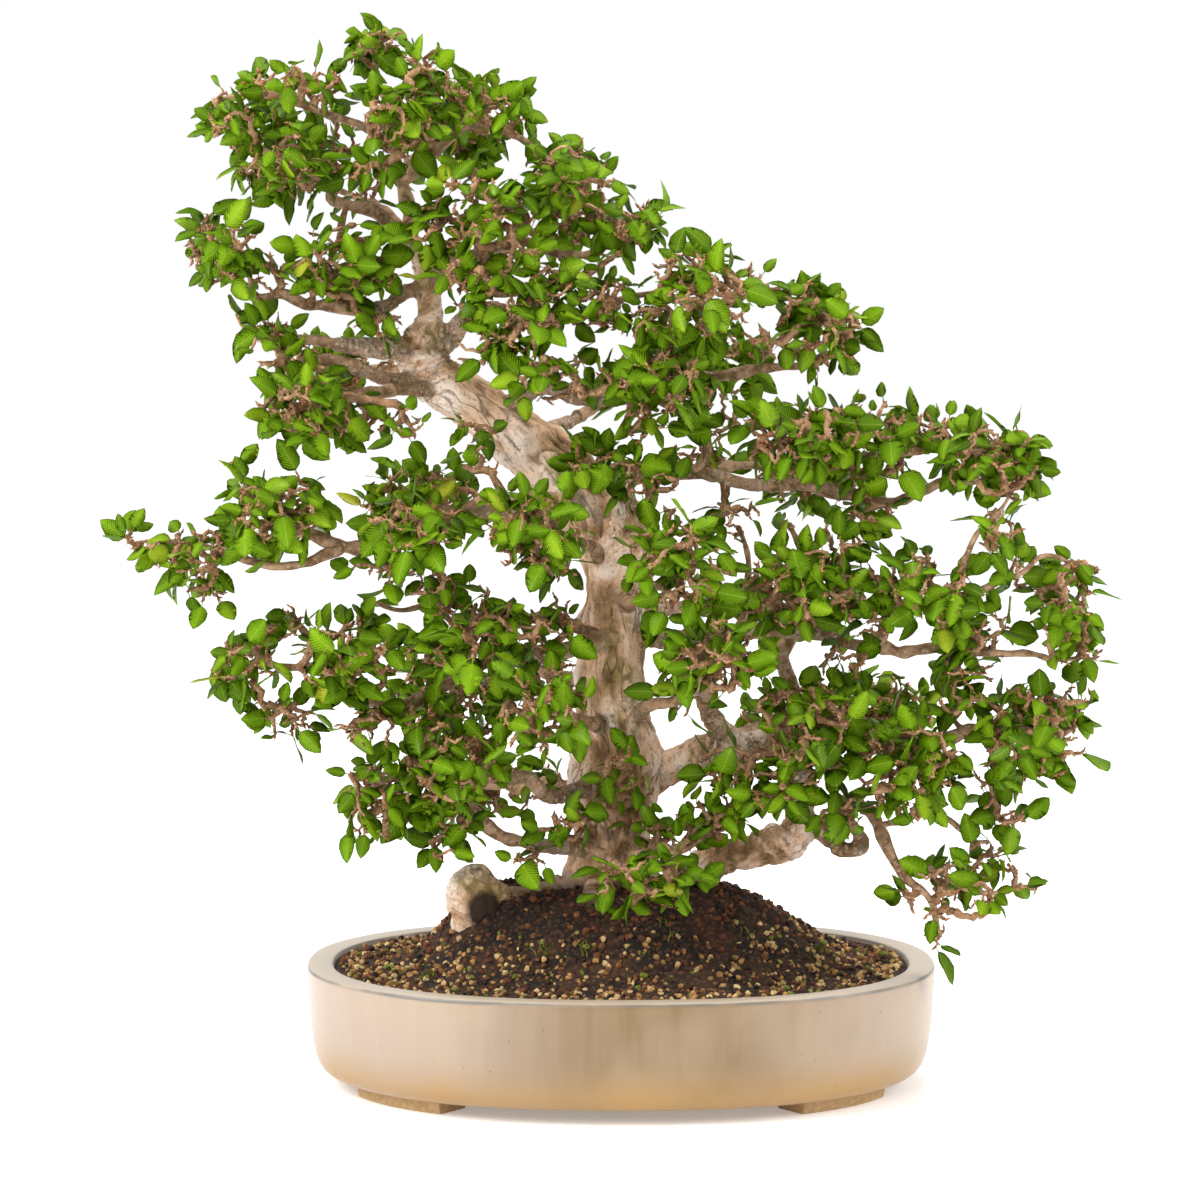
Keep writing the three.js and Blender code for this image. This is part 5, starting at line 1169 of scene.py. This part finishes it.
def leaf_shapes(roots, ahead, facing, lengths, widths):
    """Blades and stalks of many leaves. Height is a fold that rises with the distance from
    the midrib, less a droop that grows with the square of the distance along, plus a slow
    wave of the edge; the leaf's own frame then turns and places it."""
    pattern, quads, triangles, under = leaf_pattern()
    count = len(roots)
    across = unit(np.cross(facing, ahead))
    facing = np.cross(ahead, across)
    along = pattern[None, :, 0] * lengths[:, None]
    side = pattern[None, :, 1] * widths[:, None]
    fold, droop, twist = (chance.uniform(*span, (count, 1))
                          for span in (LEAF_FOLD, LEAF_DROOP, LEAF_TWIST))
    phase = chance.uniform(0, 6.28, (count, 1))
    wave = LEAF_WAVE * np.sin(pattern[None, :, 0] * LEAF_WAVES + phase)
    height = ((fold + wave) * np.abs(side) - droop * along ** 2 / lengths[:, None]
              + twist * side * pattern[None, :, 0])
    height[:, under:under + LEAF_PLACES] -= LEAF_THICKNESS
    points = (roots[:, None] + (STALK_LENGTH + along)[..., None] * ahead[:, None]
              + side[..., None] * across[:, None] + height[..., None] * facing[:, None])
    starts = np.arange(count)[:, None, None] * len(pattern)
    blades = (points.reshape(-1, 3), (quads + starts).reshape(-1, 4),
              (triangles + starts).reshape(-1, 3))
    stalk = roots[:, None] + ahead[:, None] * np.array([[0.0], [1.15]]) * STALK_LENGTH
    stalks = tubes_along(stalk, np.full(stalk.shape[:2], STALK_RADIUS), 3)
    flat = np.tile(np.stack([pattern[:, 0], pattern[:, 1] + 0.5], axis=1), (count, 1))
    flat = np.concatenate([flat, np.tile([[0.0, 0.5]], (len(stalks[0]), 1))])
    return join_parts([blades, stalks]), flat, len(pattern), len(stalks[0]) // count


leaf_green, leaf_shader, place = new_finish(
    "leaf_green", Roughness=0.45, Specular_IOR_Level=0.06, Coat_Roughness=0.30)
spot = place.node("ShaderNodeUVMap", {"uv_map": "blade"})
leaf_along, leaf_across = spot.part("X"), abs(spot.part("Y") - 0.5)
midrib = leaf_across.step(0.035, 0.008)
rib = ((leaf_along * 11.0 - leaf_across * 7.0) * 6.2832).sine()
rib_line = rib.step(0.80, 0.98) * leaf_along.step(0.04, 0.10)
leaf_tone = place.attribute("leaf_draw").ramp(
    (0.00, tone(70, 100, 0)), (0.25, tone(86, 120, 0)), (0.50, tone(102, 140, 3)),
    (0.75, tone(118, 156, 10)), (0.92, tone(138, 168, 26)), (0.98, tone(172, 172, 44)))
wire_up(leaf_shader,
        Base_Color=layered(
            leaf_tone, (rib_line * 0.32, tone(150, 184, 70)), (midrib * 0.28, tone(170, 194, 84)),
            (place.noise(60.0, 3.0).step(0.45, 0.75) * 0.3, tone(70, 106, 0))),
        Coat_Weight=place.noise(33.0, 1.0).step(0.55, 0.75) * 0.3,
        Normal=(rib * 0.5 - midrib * 0.5).bump(0.6, 0.0008))


def leafy_piece(name, pads, *replaced):
    """One piece with the leaves of one or more pads. A site bears a leaf by the chance of its
    place on the twig, which rises from the pad's underside to its top."""
    middle, half = (np.concatenate([np.tile(pad[k], (len(pad[2]), 1)) for pad in pads])
                    for k in (0, 1))
    paths = np.concatenate([pad[2] for pad in pads])
    rise = (paths[..., 2] - middle[:, None, 2]) / half[:, None, 2]
    grown = chance.uniform(0, 1, paths.shape[:2]) < LEAF_SITES * (1.0 + LEAF_RISE * rise)
    twig_at, place_at = np.nonzero(grown)
    roots = paths[twig_at, place_at]
    count = len(roots)
    along_twig = unit(paths[twig_at, place_at] - paths[twig_at, place_at - 1])
    outward = (roots - middle[twig_at]) / half[twig_at]
    front = np.clip(-roots[:, 1:2] / 0.05, -1.0, 1.0)
    facing = unit(np.array(LEAF_UP) + front * LEAF_FORWARD + outward * 0.25
                  + random_directions(count) * 0.75)
    ahead = along_twig * 0.55 + outward * 0.45 + LEAF_HANG + random_directions(count) * 0.5
    ahead = unit(ahead - facing * (ahead * facing).sum(1, keepdims=True))
    fan = chance.uniform(*LEAF_FAN, (count, 1)) * np.where(np.arange(count) % 2, 1, -1)[:, None]
    ahead = np.cos(fan) * ahead + np.sin(fan) * np.cross(facing, ahead)
    lengths = LEAF_LENGTH[0] + (LEAF_LENGTH[1] - LEAF_LENGTH[0]) * chance.beta(1.6, 2.0, count)
    widths = lengths * chance.uniform(*LEAF_WIDTH, count)
    shape, flat, blade_points, stalk_points = leaf_shapes(roots, ahead, facing, lengths, widths)
    mesh = new_mesh(name, shape[0] + POT_MIDDLE, *shape[1:])
    draws = chance.beta(2.0, 2.2, count)
    set_attribute(mesh, "leaf_draw", np.concatenate(
        [np.repeat(draws, blade_points), np.repeat(draws, stalk_points)]))
    layer = mesh.uv_layers.new(name="blade")
    corners = np.zeros(len(mesh.loops), np.int32)
    mesh.loops.foreach_get("vertex_index", corners)
    layer.data.foreach_set("uv", flat[corners].astype(np.float32).ravel())
    add_piece(name, mesh, leaf_green, "leaf_green", *replaced)


for pad_name, spray in sprays.items():
    leafy_piece("leaves_" + pad_name, [spray], "spray_" + pad_name)
leafy_piece("leaves_between", small_sprays)


# Weeds: a few tufts of thin blades that come up through the grit. Each blade rises from its
# tuft's foot and bows over as it goes, and narrows to a point. Feet are in millimetres.
WEED_TUFTS = [(-166, -62), (-148, -88), (-60, -92), (-28, -96), (34, -84), (96, -70), (150, -36),
              (-30, 112), (88, 96)]
WEED_BLADES, WEED_PLACES = 7, 5
WEED_LENGTH, WEED_THINNESS = (0.006, 0.015), 0.045
WEED_SPREAD, WEED_SINK = 0.0035, 0.001

feet = np.repeat(np.array(WEED_TUFTS) / 1000.0, WEED_BLADES, axis=0)
feet = feet + chance.normal(0, WEED_SPREAD, feet.shape)
feet = np.column_stack([feet, soil_level(*feet.T) - WEED_SINK])
lean = random_directions(len(feet)) * (0.8, 0.8, 0.0)
length = chance.uniform(*WEED_LENGTH, (len(feet), 1, 1))
gone = np.linspace(0.0, 1.0, WEED_PLACES)[:, None]
blade_paths = feet[:, None] + length * (
    gone * (0.0, 0.0, 1.0) + gone ** 2 * (lean[:, None] + (0.0, 0.0, -0.35)))
blade_radii = length[:, 0] * WEED_THINNESS * (1.05 - gone[:, 0] ** 2)
weed_green, weed_shader, place = new_finish("weed_green", Roughness=0.6, Specular_IOR_Level=0.2)
wire_up(weed_shader, Base_Color=place.noise(90.0).step(0.35, 0.65).tint(
    tone(70, 96, 16), tone(128, 146, 48)))
add_piece("weeds", new_mesh("weeds", *tubes_along(blade_paths + POT_MIDDLE, blade_radii, 3)),
          weed_green, "leaf_green")
